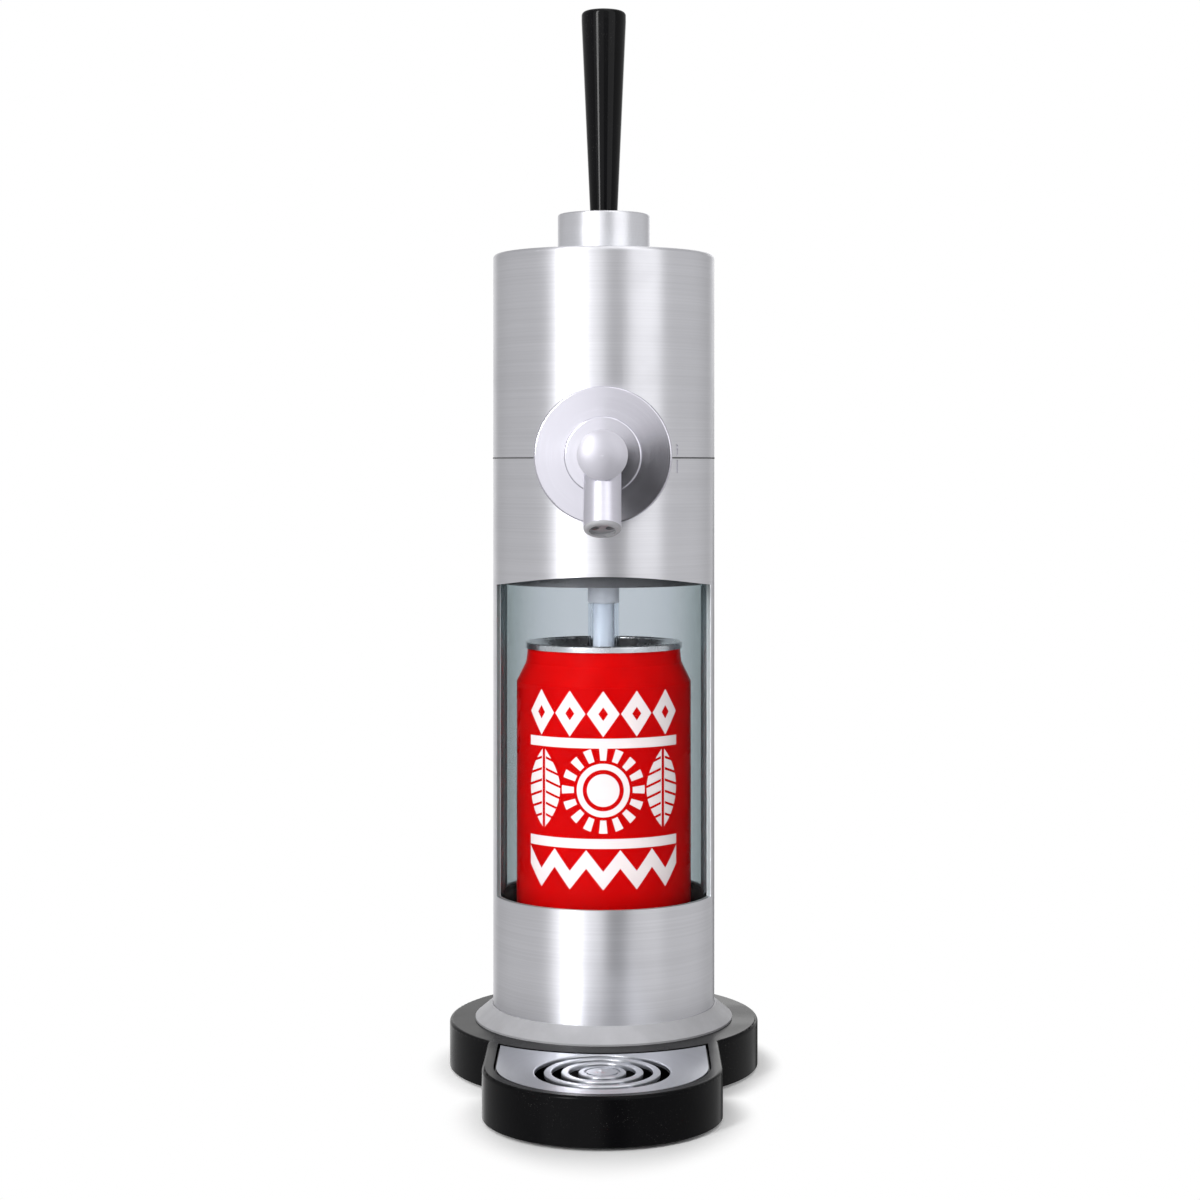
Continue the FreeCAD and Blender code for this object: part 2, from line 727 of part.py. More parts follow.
def make_can():
    low = "cup_floor_z + cup_floor + pad_thick"
    high = low + " + can_height"
    heel = low + " + can_heel"
    neck_low = high + " - can_neck_drop"
    neck_high = high + " - can_seam_height"
    wall = "can_wall"
    shoulder_r = "can_r - can_shoulder_in"
    inside = "can_stand_r - can_stand_bend * 2 / 3"
    body = turned("can_turned", [
        ("0", low + " + can_dome"),
        dome("can_stand_r - can_stand_bend", low + " + can_stand_bend", "can_dome - can_stand_bend", True),
        ("can_stand_r + can_stand_bend", low + " + can_stand_bend", "can_stand_r", low),
        ("can_r", heel, "can_r - 2.4", heel + " - 5.6"),
        ("can_r", neck_low),
        (shoulder_r, neck_low + " + can_shoulder"),
        ("can_neck_r", neck_high),
        ("can_neck_r - " + wall, neck_high),
        (shoulder_r + " - " + wall, neck_low + " + can_shoulder"),
        ("can_r - " + wall, neck_low),
        ("can_r - " + wall, heel),
        ("can_stand_r + can_stand_bend * 2 / 3", low + " + can_stand_bend + " + wall,
         "can_r - 2.4 - " + wall, heel + " - 5.2"),
        (inside, low + " + can_stand_bend + " + wall, "can_stand_r", low + " + " + wall),
        dome(inside, low + " + can_stand_bend + " + wall, "can_dome - can_stand_bend"),
    ])
    node(body, "can_body")

    panel = high + " - lid_sink"
    seam_low = high + " - can_seam_height"
    lid = turned("lid_turned", [
        ("0", panel),
        ("lid_panel_r", panel),
        ("lid_panel_r", panel + " - 1.6"),
        ("lid_panel_r + 1.6", panel + " - 1.6", "lid_panel_r + 0.8", panel + " - 2.3"),
        ("can_neck_r - 0.9", seam_low),
        ("can_seam_r", seam_low),
        ("can_seam_r", high + " - 0.8"),
        ("can_neck_r - 0.9", high + " - 0.8", "(can_seam_r + can_neck_r - 0.9) / 2", high),
        ("lid_panel_r + 1.1", panel + " - 0.8"),
        ("lid_panel_r + 0.5", panel + " - 0.8", "lid_panel_r + 0.8", panel + " - 1.3"),
        ("lid_panel_r + 0.5", panel + " + lid_thick"),
        ("0", panel + " + lid_thick"),
    ])
    mouth = cylinder("lid_mouth", "mouth_r", "6", "0", "-straw_y", panel + " - 3")
    node(cut("can_lid", lid, mouth), "can_lid")

    tab_low = panel + " + lid_thick"
    ring_y = "7.6"
    blank = slab("tab_blank", [("-4.6", "-4.2"), ("4.6", "-4.2"), ("7.4", "8.6"), ("-7.4", "8.6", "0", "15.6")],
                 tab_low + " + 0.6", "tab_thick")
    finger = cylinder("tab_finger", "4.2", "4", "0", ring_y, tab_low)
    rivet = cylinder("tab_rivet", "1.9", "tab_thick + 1", "0", "0", tab_low)
    node(fuse("can_tab", cut("tab_ring", blank, finger), rivet), "can_tab")


# Straw: the collar under the head's floor, the straw that reaches into the can, and its sleeve

def make_straw():
    floor_top = "ceiling_z + spigot_floor"
    collar = turned("collar_turned", [
        ("straw_r + pilot_gap", "collar_end_low"),
        ("collar_end_r", "collar_end_low"),
        ("collar_end_r", "ceiling_z"),
        ("collar_end_r - 1", "ceiling_z"),
        ("collar_end_r - 1", floor_top),
        ("nipple_r", floor_top),
        ("nipple_r", floor_top + " + 9"),
        ("bore_r", floor_top + " + 9"),
        ("bore_r", "ceiling_z + straw_seat"),
        ("straw_r + pilot_gap", "ceiling_z + straw_seat"),
    ], y="-straw_y")
    node(collar, "dip_collar")
    node(ring("dip_tube", "straw_bore", "straw_r", "straw_low", "ceiling_z + straw_seat", y="-straw_y"), "dip_tube")
    node(ring("dip_sleeve", "straw_r + sleeve_gap", "sleeve_r", "sleeve_low", "sleeve_top", y="-straw_y"),
         "dip_sleeve")


# Head: the silver shell and the chassis whose spigot closes the can's chamber

def make_head():
    low = "seam_z + seam_ring / 2"
    tube_inner = "tower_r - shell_wall - tube_gap - tube_wall"
    shell = turned("head_turned", [
        ("tower_r - head_wall", low), ("tower_r", low), ("tower_r", "head_top - head_edge"),
        ("tower_r - head_edge", "head_top", "tower_r - 0.293 * head_edge", "head_top - 0.293 * head_edge"),
        ("bonnet_bore", "head_top"), ("bonnet_bore", "head_top - head_roof"),
        ("tower_r - head_wall", "head_top - head_roof")])
    tail = cylinder("head_tail_hole", "tail_r + tail_gap", "12", "0", "-(tower_r - 6)", "tap_z", ALONG_FRONT)
    hatch = hatch_space("hatch_hole", "0")
    mark = seam_mark("high_mark", low + " + mark_step", "mark_high_height")
    dot_x, dot_y = around("tower_r - mark_depth", "mark_angle - 90")
    dot = cylinder("mark_dot", "mark_dot_r", "3", dot_x, dot_y,
                   low + " + mark_step + mark_high_height + 1.5 * mark_dot_r",
                   Rotation(Vector(0, 0, 1), size("mark_angle") - 90).multiply(ALONG_X))
    screw_holes = []
    for number, degrees in enumerate((45, 135, 225, 315)):
        x, y = around("bracket_screw_reach", degrees)
        screw_holes.append(cylinder("roof_hole%d" % number, "screw_r + hole_gap", "6", x, y, "head_top - 4"))
    node(cut("head_shell", shell, tail, hatch, mark, dot, *screw_holes), "head_shell")

    outer = tube_inner + " - spigot_gap"
    inner = outer + " - spigot_wall"
    lip_outer = "tower_r - head_wall - lip_gap"
    groove_floor = outer + " + spigot_gap - seal_gap - 2 * seal_r"
    chassis = turned("chassis_turned", [
        ("0", "ceiling_z"), (outer, "ceiling_z"), (outer, "seal_z - seal_r - 0.1"),
        (groove_floor, "seal_z - seal_r - 0.1"), (groove_floor, "seal_z + seal_r + 0.1"),
        (outer, "seal_z + seal_r + 0.1"), (outer, "seam_z - seam_ring / 2"),
        ("tower_r + seam_proud", "seam_z - seam_ring / 2"), ("tower_r + seam_proud", low),
        (lip_outer, low), (lip_outer, low + " + lip_height"), (lip_outer + " - lip_wall", low + " + lip_height"),
        (lip_outer + " - lip_wall", low), (inner, low), (inner, "ceiling_z + spigot_floor"),
        ("0", "ceiling_z + spigot_floor")])
    block = box("seat_block", "-seat_half", "seat_half", "-(tower_r)", "-seat_y", "seat_low", "seat_high")
    block_round = fuse("seat_round", cylinder("seat_low_round", outer, "seam_z - seat_low", z="seat_low"),
                       cylinder("seat_high_round", lip_outer, "seat_high - seam_z", z="seam_z"))
    seat = common("nut_seat", block, block_round)
    cradle = ring("motor_cradle", "motor_r + cradle_gap", "motor_r + cradle_gap + cradle_wall",
                  "ceiling_z + spigot_floor - 0.5", "cradle_top", y="pump_y")
    shelf_box = box("shelf_box", "-(%s)" % BAY_HALF, BAY_HALF, "bay_front", "bay_back + 3",
                    low + " + lip_height - shelf_thick", low + " + lip_height")
    shelf = common("bay_shelf", shelf_box, cylinder("shelf_round", lip_outer + " - lip_wall + 0.5",
                                                    "shelf_thick + 2", z=low + " + lip_height - shelf_thick - 1"))
    tail_hole = cylinder("chassis_tail_hole", "tail_r + tail_gap", "14", "0", "-(seat_y - 2)", "tap_z", ALONG_FRONT)
    holes = [cylinder("collar_hole", "collar_end_r - 1 + pilot_gap", "6", "0", "-straw_y", "ceiling_z - 1"),
             cylinder("port_hole", "port_r + pilot_gap", "6", VALVE_X, "pump_y", "ceiling_z - 1")]
    rods = []
    screws = []
    for number, side in enumerate(("-rod_reach", "rod_reach")):
        holes.append(cylinder("rod_hole%d" % number, "screw_r + hole_gap", "6", side, "0", "ceiling_z - 1"))
        holes.append(cylinder("rod_sink%d" % number, "screw_head_r + hole_gap", "screw_head", side, "0", "ceiling_z"))
        rod = turned("tie_rod%d" % number, [
            ("screw_r + pilot_gap", "ceiling_z + spigot_floor"), ("rod_r", "ceiling_z + spigot_floor"),
            ("rod_r", BRACKET_LOW), ("rod_r - 1.2", BRACKET_LOW), ("rod_r - 1.2", "head_top - head_roof"),
            ("0", "head_top - head_roof"), ("0", "ceiling_z + spigot_floor + 12"),
            ("screw_r + pilot_gap", "ceiling_z + spigot_floor + 12")], x=side)
        rods.append(rod)
        screws.append(screw("chassis_screw%d" % number, "11", side, "0", "ceiling_z"))
    node(cut("head_chassis", fuse("chassis_solid", chassis, seat, cradle, shelf), tail_hole, *holes), "head_chassis")
    node(group("tie_rods", rods), "tie_rods")
    node(group("chassis_screws", screws), "chassis_screws")

    seal = doc.addObject("Part::Torus", "chassis_seal")
    bind(seal, "Radius1", outer + " + spigot_gap - seal_gap - seal_r")
    bind(seal, "Radius2", "seal_r")
    node(place(seal, z="seal_z"), "chassis_seal")


def hatch_space(name, gap):
    """The opening at the back of the head, or with a gap the panel that closes it."""
    return box(name, "-(%s - bay_wall - (%s))" % (BAY_HALF, gap), "%s - bay_wall - (%s)" % (BAY_HALF, gap),
               "tower_r / 2 + 8", "tower_r + 3", "hatch_low + (%s)" % gap, "hatch_high - (%s)" % gap)


# Battery bay: an open-backed box with two cells, their contacts, and the hatch that closes it

def make_battery_bay():
    blank = box("bay_blank", "-" + BAY_HALF, BAY_HALF, "bay_front", "bay_back", BAY_LOW, BAY_HIGH)
    bay_round = cylinder("bay_round", "tower_r - head_wall - bay_gap", "cell_length + 20", z="seam_z")
    room = box("bay_room", "-(%s - bay_wall)" % BAY_HALF, "%s - bay_wall" % BAY_HALF, "bay_front + bay_wall",
               "tower_r + 2", BAY_LOW + " + bay_floor", BAY_HIGH + " - bay_floor")
    node(cut("battery_box", common("bay_outer", blank, bay_round), room), "battery_box")

    cells = []
    plates = []
    cell_low = BAY_LOW + " + bay_floor + contact_thick + 0.1"
    for number, (side, nub_up) in enumerate((("-cell_pitch / 2", True), ("cell_pitch / 2", False))):
        body_low = cell_low if nub_up else cell_low + " + 1.2"
        can = cylinder("cell_can%d" % number, "cell_r", "cell_length - 1.2", side, "cell_y", body_low)
        nub_low = cell_low + " + cell_length - 1.2" if nub_up else cell_low
        nub = cylinder("cell_nub%d" % number, "2.7", "1.2", side, "cell_y", nub_low)
        cells.append(fuse("cell%d" % number, can, nub))
        for end, low in enumerate((BAY_LOW + " + bay_floor", BAY_HIGH + " - bay_floor - contact_thick")):
            plates.append(box("contact%d_%d" % (number, end), side + " - 5.5", side + " + 5.5",
                              "cell_y - 5.5", "cell_y + 5.5", low, low + " + contact_thick"))
    node(group("batteries", cells), "batteries")
    node(group("battery_contacts", plates), "battery_contacts")

    panel_ring = ring("hatch_ring", "tower_r - head_wall", "tower_r", "hatch_low", "hatch_high")
    panel = common("hatch_panel", panel_ring, hatch_space("hatch_block", "hatch_gap"))
    tongues = []
    for number, sign in enumerate(("-", "")):
        edge = "(%s - bay_wall - bay_gap)" % BAY_HALF
        near = "%s(%s - hatch_tongue)" % (sign, edge)
        far = "%s%s" % (sign, edge)
        low_x, high_x = (far, near) if sign else (near, far)
        tongue = box("hatch_tongue%d" % number, low_x, high_x, "tower_r - head_wall - hatch_tongue_depth - 3",
                     "tower_r - 2", "hatch_low + 12", "hatch_high - 12")
        tongues.append(tongue)
    inside = cylinder("hatch_inside", "tower_r - head_wall + 0.3", "hatch_high - hatch_low", z="hatch_low")
    snaps = common("hatch_snaps", fuse("hatch_tongues", *tongues), inside)
    grip = cylinder("hatch_grip", "9", "8", "0", "tower_r + 8.2", "hatch_high - 12", UP)
    node(cut("battery_cover", fuse("hatch_solid", panel, snaps), grip), "battery_cover")


# Tap: flange and boss, the shank that the beer runs through, its cap, the spout and its insert

def make_tap():
    flange = turned("flange_turned", [
        ("tail_r + tail_gap", "tower_r - 16"), ("flange_r", "tower_r - 16"),
        ("flange_r", "flange_front - flange_edge"),
        ("flange_r - flange_edge", "flange_front", "flange_r - 0.293 * flange_edge",
         "flange_front - 0.293 * flange_edge"),
        ("tail_r + tail_gap", "flange_front")], z="tap_z", turn=ALONG_FRONT)
    saddle = cylinder("flange_saddle", "tower_r + saddle_gap", "80", z="tap_z - 40")
    node(cut("spout_flange", flange, saddle), "spout_flange")

    node(turned("spout_boss", [
        ("tail_r + tail_gap", "flange_front"), ("boss_r", "flange_front"), ("boss_r", "boss_front - flange_edge"),
        ("boss_r - flange_edge", "boss_front", "boss_r - 0.293 * flange_edge", "boss_front - 0.293 * flange_edge"),
        ("tail_r + tail_gap", "boss_front")], z="tap_z", turn=ALONG_FRONT), "spout_boss")

    shank = turned("shank_turned", [
        ("bore_r", "nipple_end"), ("nipple_r", "nipple_end"), ("nipple_r", "tail_end"), ("tail_r", "tail_end"),
        ("tail_r", "boss_front"), ("shank_r", "boss_front"), ("shank_r", "shank_front"),
        ("0", "shank_front"), ("0", "spout_root + spout_bore - 1"), ("bore_r", "spout_root + spout_bore - 1")],
        z="tap_z", turn=ALONG_FRONT)
    node(cut("spout_shank", shank, spout_rod("shank_outlet", "spout_bore - 1", "0", "shank_r + 3")), "spout_shank")

    node(turned("spout_cap", [
        ("0", "shank_front"), ("shank_r", "shank_front"), ("shank_r", "shank_front + cap_rim"),
        dome("shank_r", "shank_front + cap_rim", "cap_dome")],
        z="tap_z", turn=ALONG_FRONT), "spout_cap")

    tube = spout_rod("spout_rod", "spout_r", "0", "spout_length")
    eased = rounded("spout_eased", tube, "spout_lip", is_spout_tip)
    hole = spout_rod("spout_hole", "spout_bore", "-1", "spout_length + 1")
    body = cylinder("spout_shank_space", "shank_r", "spout_root", "0", "-seat_y", "tap_z", ALONG_FRONT)
    node(cut("spout_tube", eased, hole, body), "spout_tube")

    plug = spout_rod("insert_rod", "spout_bore - 0.05", "spout_length - insert_sink - insert_thick",
                     "spout_length - insert_sink")
    holes = []
    for number, sign in enumerate(("-", "")):
        holes.append(spout_rod("insert_hole%d" % number, "insert_hole", "spout_length - insert_sink - insert_thick - 1",
                               "spout_length", sign + "insert_spread"))
    node(cut("spout_insert", plug, *holes), "spout_insert")

    nut_end = "seat_y - nut_thick"
    flat = "nut_flat / 2"
    corner = "nut_flat / 2 / cos(30)"
    hexagon = []
    for step in range(6):
        hexagon.append(around(corner, 60 * step))
    blank = slab("nut_blank", hexagon, nut_end, "nut_thick", z="tap_z", turn=ALONG_FRONT)
    bore = cylinder("nut_bore", "tail_r + pilot_gap", "nut_thick + 2", "0", "-(%s - 1)" % nut_end, "tap_z", ALONG_FRONT)
    node(cut("shank_nut", blank, bore), "shank_nut")
    node(ring("ultrasonic_ring", "tail_r + pilot_gap", "horn_r", nut_end + " - horn_thick", nut_end,
              z="tap_z", turn=ALONG_FRONT), "ultrasonic_ring")


def spout_rod(name, radius, start, end, x="0"):
    """A rod along the spout's axis, which leaves the shank's axis downwards and leans forward."""
    turn = Rotation(Vector(1, 0, 0), 180 - size("spout_tilt"))
    item = doc.addObject("Part::Cylinder", name)
    bind(item, "Radius", radius)
    bind(item, "Height", "(%s) - (%s)" % (end, start))
    y = "-spout_root - (%s) * sin(spout_tilt)" % start
    z = "tap_z - (%s) * cos(spout_tilt)" % start
    return place(item, x, y, z, turn)


def is_spout_tip(edge):
    """The round edge at the spout's lower end."""
    if not hasattr(edge.Curve, "Center"):
        return False
    return edge.Curve.Center.z < size("tap_z - spout_length * 0.5")


# Lever: the bonnet on the head, the bracket and pin inside it, and the handle that tilts on the pin

def make_lever():
    front_end = "((bonnet_top - pivot_z) * tan(lever_forward) + handle_low_r / cos(lever_forward) + slot_gap)"
    back_end = "((bonnet_top - pivot_z) * tan(lever_back) + handle_low_r / cos(lever_back) + slot_gap)"
    half = "(handle_low_r + slot_gap)"
    bonnet = turned("bonnet_turned", [
        ("bonnet_bore", "head_top"), ("bonnet_r", "head_top"), ("bonnet_r", "bonnet_top - bonnet_edge"),
        ("bonnet_r - bonnet_edge", "bonnet_top", "bonnet_r - 0.293 * bonnet_edge",
         "bonnet_top - 0.293 * bonnet_edge"),
        ("0", "bonnet_top"), ("0", "bonnet_top - bonnet_roof"), ("bonnet_bore", "bonnet_top - bonnet_roof")])
    slot = slab("handle_slot", [
        ("-" + half, "-(%s - %s)" % (front_end, half)),
        (half, "-(%s - %s)" % (front_end, half), "0", "-" + front_end),
        (half, "%s - %s" % (back_end, half)),
        ("-" + half, "%s - %s" % (back_end, half), "0", back_end)], "bonnet_top - bonnet_roof - 1", "bonnet_roof + 2")
    pilots = []
    for number, degrees in enumerate((45, 135, 225, 315)):
        x, y = around("bracket_screw_reach", degrees)
        pilots.append(cylinder("bonnet_pilot%d" % number, "screw_r + pilot_gap", "7", x, y, "head_top - 1"))
    node(cut("lever_bonnet", bonnet, slot, *pilots), "lever_bonnet")

    plate = common("bracket_plate", box("bracket_blank", "-bracket_half_x", "bracket_half_x", "-bracket_half_y",
                                        "bracket_half_y", BRACKET_LOW, "head_top - head_roof"),
                   cylinder("bracket_round", "tower_r - head_wall - bracket_gap", "10", z=BRACKET_LOW + " - 2"))
    ear_low = BRACKET_LOW
    left_in = "drum_half + bracket_gap"
    left = ear("ear_left", "-ear_left_out", "-(%s)" % left_in, ear_low)
    right = ear("ear_right", "ear_right_in", "ear_right_out", ear_low)
    spring_post = cylinder("spring_post", "peg_r - peg_gap", "ear_right_in - drum_half - bracket_gap + 1",
                           "drum_half + bracket_gap", "0", "pivot_z - post_drop", ALONG_X)
    room_y = "(drum_r + bracket_gap)"
    room = fuse("bracket_room",
                box("drum_room", "-(%s)" % left_in, left_in, "-" + room_y, room_y,
                    BRACKET_LOW + " - 1", "head_top - head_roof + 1"),
                box("spring_room", "0", "ear_right_in", "-ear_half", "ear_half",
                    BRACKET_LOW + " - 1", "head_top - head_roof + 1"))
    legs = []
    bores = []
    board_screws = []
    for number, (sign_x, sign_y) in enumerate((("-", "-"), ("-", ""), ("", "-"), ("", ""))):
        x = sign_x + "standoff_x"
        y = sign_y + "standoff_y"
        legs.append(cylinder("standoff%d" % number, "standoff_r", "%s - board_top + 0.5" % BRACKET_LOW, x, y,
                             "board_top"))
        bores.append(cylinder("standoff_bore%d" % number, "screw_r + pilot_gap", "9", x, y, "board_top - 1"))
        board_screws.append(screw("board_screw%d" % number, "board_thick + 6", x, y,
                                  "board_top - board_thick - screw_head"))
    bracket_screws = []
    for number, degrees in enumerate((45, 135, 225, 315)):
        x, y = around("bracket_screw_reach", degrees)
        bores.append(cylinder("bracket_hole%d" % number, "screw_r + hole_gap", "8", x, y, BRACKET_LOW + " - 2"))
        bracket_screws.append(screw("bracket_screw%d" % number, "bracket_thick + head_roof + 5", x, y,
                                    BRACKET_LOW + " - screw_head"))
    for number, side in enumerate(("-rod_reach", "rod_reach")):
        bores.append(cylinder("bracket_rod%d" % number, "rod_r - 1.2 + pilot_gap", "6", side, "0",
                              BRACKET_LOW + " - 1"))
    pin_hole = cylinder("ear_hole", "pin_r + pilot_gap", "2 * ear_right_out + 2", "-ear_right_out - 1", "0",
                        "pivot_z", ALONG_X)
    frame = fuse("bracket_frame", cut("bracket_open", plate, room), left, right, *legs)
    drilled = cut("bracket_drilled", frame, pin_hole, *bores)
    node(fuse("lever_bracket", drilled, spring_post), "lever_bracket")
    node(group("bracket_screws", bracket_screws), "bracket_screws")
    node(group("board_screws", board_screws), "board_screws")
    node(cylinder("pivot_pin", "pin_r", "ear_left_out + ear_right_out", "-ear_left_out", "0", "pivot_z", ALONG_X),
         "pivot_pin")

    drum = cylinder("hub_drum", "drum_r", "2 * drum_half", "-drum_half", "0", "pivot_z", ALONG_X)
    arm = box("hub_arm", "-arm_width", "arm_width", "-arm_half", "arm_half", "pivot_z - arm_length", "pivot_z")
    cheek = box("hub_cheek", "drum_half - 2", "drum_half", "-peg_r", "peg_r",
                "pivot_z - peg_drop - peg_r", "pivot_z - drum_r + 2")
    web = box("hub_web", "0", "drum_half", "-arm_half", "arm_half",
              "pivot_z - peg_drop - peg_r", "pivot_z - drum_r + 2")
    peg = cylinder("hub_peg", "peg_r - peg_gap", "ear_right_in - drum_half - bracket_gap + 1", "drum_half - 1", "0",
                   "pivot_z - peg_drop", ALONG_X)
    axle = cylinder("hub_bore", "pin_r + pin_gap", "2 * drum_half + 4", "-drum_half - 2", "0", "pivot_z", ALONG_X)
    socket = cylinder("hub_socket", "stem_r + pilot_gap", "20", "0", "0", "stem_low")
    node(cut("lever_hub", fuse("hub_solid", drum, arm, cheek, web, peg), axle, socket), "lever_hub")
    node(cylinder("lever_stem", "stem_r", "stem_high - stem_low", z="stem_low"), "lever_stem")

    slope = "(handle_high_r - handle_low_r) / (handle_top - handle_crown - bonnet_top)"
    foot = "pivot_z + drum_r - 4"
    handle = turned("handle_turned", [
        ("stem_r + pilot_gap", foot), ("handle_low_r - (bonnet_top - (%s)) * %s" % (foot, slope), foot),
        ("handle_high_r", "handle_top - handle_crown"),
        ("handle_high_r", "handle_top - handle_dome - handle_round"),
        ("handle_high_r - handle_round", "handle_top - handle_dome",
         "handle_high_r - 0.293 * handle_round", "handle_top - handle_dome - 0.293 * handle_round"),
        dome("handle_high_r - handle_round", "handle_top - handle_dome", "handle_dome"),
        ("0", "stem_high"), ("stem_r + pilot_gap", "stem_high")])
    seat = cylinder("handle_seat", "drum_r", "4 * drum_half", "-2 * drum_half", "0", "pivot_z", ALONG_X)
    node(cut("lever_handle", handle, seat), "lever_handle")
    node(make_spring(), "centring_spring")


def ear(name, x_low, x_high, z_low):
    """A plate that stands up from the bracket and holds one end of the pin."""
    return box(name, x_low, x_high, "-ear_half", "ear_half", z_low, "ear_top")


def make_spring():
    """A torsion spring: two and a half turns round the pin, between two straight legs."""
    wire_r = size("spring_wire")
    coil_r = size("spring_r")
    pitch = size("spring_pitch")
    start_x = size("drum_half") + 2 * wire_r
    centre_z = size("pivot_z")
    leg = size("spring_leg")
    turns = 2.5
    quarter = math.pi / 2

    def on_coil(angle):
        return Vector(start_x + pitch * angle / (2 * math.pi), coil_r * math.cos(angle),
                      centre_z + coil_r * math.sin(angle))

    edges = [Part.LineSegment(on_coil(0) - Vector(0, 0, leg), on_coil(0)).toShape()]
    for step in range(int(turns * 4)):
        spots = [on_coil(quarter * (step + share)) for share in (0, 0.5, 1)]
        edges.append(Part.Arc(*spots).toShape())
    last = on_coil(quarter * int(turns * 4))
    edges.append(Part.LineSegment(last, last - Vector(0, 0, leg)).toShape())
    path = Part.Wire(edges)
    start = on_coil(0) - Vector(0, 0, leg)
    section = Part.Wire(Part.Circle(start, Vector(0, 0, 1), wire_r).toShape())
    item = doc.addObject("Part::Feature", "centring_spring")
    item.Shape = path.makePipeShell([section], True, True)
    return item


# Electronics: the board under the bracket, its two switches, and the leads

def make_electronics():
    board = box("board_blank", "-board_half_x", "board_half_x", "-board_front", "board_back",
                "board_top - board_thick", "board_top")
    holes = []
    for number, (sign_x, sign_y) in enumerate((("-", "-"), ("-", ""), ("", "-"), ("", ""))):
        holes.append(cylinder("board_hole%d" % number, "screw_r + hole_gap", "5", sign_x + "standoff_x",
                              sign_y + "standoff_y", "board_top - board_thick - 1"))
    node(cut("circuit_board", board, *holes), "circuit_board")
    node(switch("pour_switch", POUR_Y, 1), "pour_switch")
    node(switch("foam_switch", FOAM_Y, -1), "foam_switch")
    chips = []
    spots = ((-14, "5 - board_front", 9, 7, 1.6), (2, "6 - board_front", 6, 6, 3.2),
             (13, "6 - board_front", 10, 5, 5.5),
             (-17.5, "0", 5, 9, 2.0), (17.5, "0", 5, 11, 4.0))
    for number, (x, y, long, wide, tall) in enumerate(spots):
        chips.append(box("chip%d" % number, "%g" % (x - long / 2), "%g" % (x + long / 2), "%s - %g" % (y, wide / 2),
                         "%s + %g" % (y, wide / 2), "board_top", "board_top + %g" % tall))
    node(group("board_components", chips), "board_components")

    leads = []
    under = "board_top - board_thick"
    for number, sign in enumerate(("-", "")):
        side = "%slead_pitch / 2" % sign
        leads.append(cylinder("horn_lead%d" % number, "lead_r", "%s - tap_z - horn_r" % under, side,
                              "-(seat_y - nut_thick - horn_thick / 2)", "tap_z + horn_r"))
        leads.append(motor_lead("motor_lead%d" % number, "pump_y + (%s)" % side))
        leads.append(cylinder("cell_lead%d" % number, "lead_r", "%s - %s" % (under, BAY_HIGH),
                              "%scell_pitch / 2" % sign, "(bay_front + board_back) / 2", BAY_HIGH))
    node(group("wiring", leads), "wiring")


def switch(name, face, sign):
    """A push switch on the board. Its button ends just short of the lever's arm at full tilt."""
    near = "%s + button_out" % face
    far = near + " + switch_deep"
    body_low, body_high = (near, far) if sign > 0 else ("-(%s)" % far, "-(%s)" % near)
    case = box(name + "_case", "-switch_width / 2", "switch_width / 2", body_low, body_high,
               "board_top", "board_top + switch_tall")
    start = face if sign > 0 else "-(%s) - 0.5" % near
    button = cylinder(name + "_button", "button_r", "button_out + 0.5", "0", start, BUTTON_Z,
                      Rotation(Vector(1, 0, 0), -90))
    return fuse(name, case, button)


def motor_lead(name, y):
    """A lead that leaves the motor sideways, bends up and ends under the board."""
    low = "lead_start"
    start_x = "-(lead_x - lead_bend)"
    out = cylinder(name + "_out", "lead_r", "lead_x - lead_bend - motor_r + 0.05", start_x, y, low, ALONG_X)
    bend = doc.addObject("Part::Torus", name + "_bend")
    bind(bend, "Radius1", "lead_bend")
    bind(bend, "Radius2", "lead_r")
    bend.Angle3 = 90
    turn = Rotation(Vector(1, 0, 0), 90).multiply(Rotation(Vector(0, 0, 1), 180))
    place(bend, start_x, y, low + " + lead_bend", turn)
    rise = cylinder(name + "_rise", "lead_r", "board_top - board_thick - (%s + lead_bend)" % low, "-lead_x", y,
                    low + " + lead_bend")
    return fuse(name, out, bend, rise)


# Air pump: its motor stands in the chassis, the pump sits on top, and a hose leads to the check valve

def make_pump():
    floor_top = "ceiling_z + spigot_floor"
    node(cylinder("pump_motor", "motor_r", "motor_top - (%s)" % floor_top, "0", "pump_y", floor_top), "pump_motor")
    block = box("pump_block", "-pump_half", "pump_half", "pump_y - pump_half", "pump_y + pump_half",
                "motor_top", "pump_top")
    barb = cylinder("pump_barb", "barb_r", "barb_length + 1", "pump_half - 1", "pump_y", "outlet_z", ALONG_X)
    node(fuse("pump_head", block, barb), "pump_head")

    valve = turned("valve_turned", [
        ("0", "ceiling_z"), ("port_r", "ceiling_z"), ("port_r", floor_top), ("valve_r", floor_top),
        ("valve_r", "valve_top"), ("barb_r", "valve_top"), ("barb_r", "valve_top + barb_length"),
        ("0", "valve_top + barb_length")], VALVE_X, "pump_y")
    air = cylinder("valve_air", "0.8", "40", VALVE_X, "pump_y", "ceiling_z - 1")
    node(cut("check_valve", valve, air), "check_valve")

    outer = air_hose_solid("hose_outer", "hose_r", "0")
    inner = air_hose_solid("hose_inner", "barb_r + pilot_gap", "1")
    node(cut("air_hose", outer, inner), "air_hose")

    outer = beer_hose_solid("beer_outer", "beer_hose_r", "0")
    inner = beer_hose_solid("beer_inner", "nipple_r + pilot_gap", "1")
    node(cut("beer_hose", outer, inner), "beer_hose")


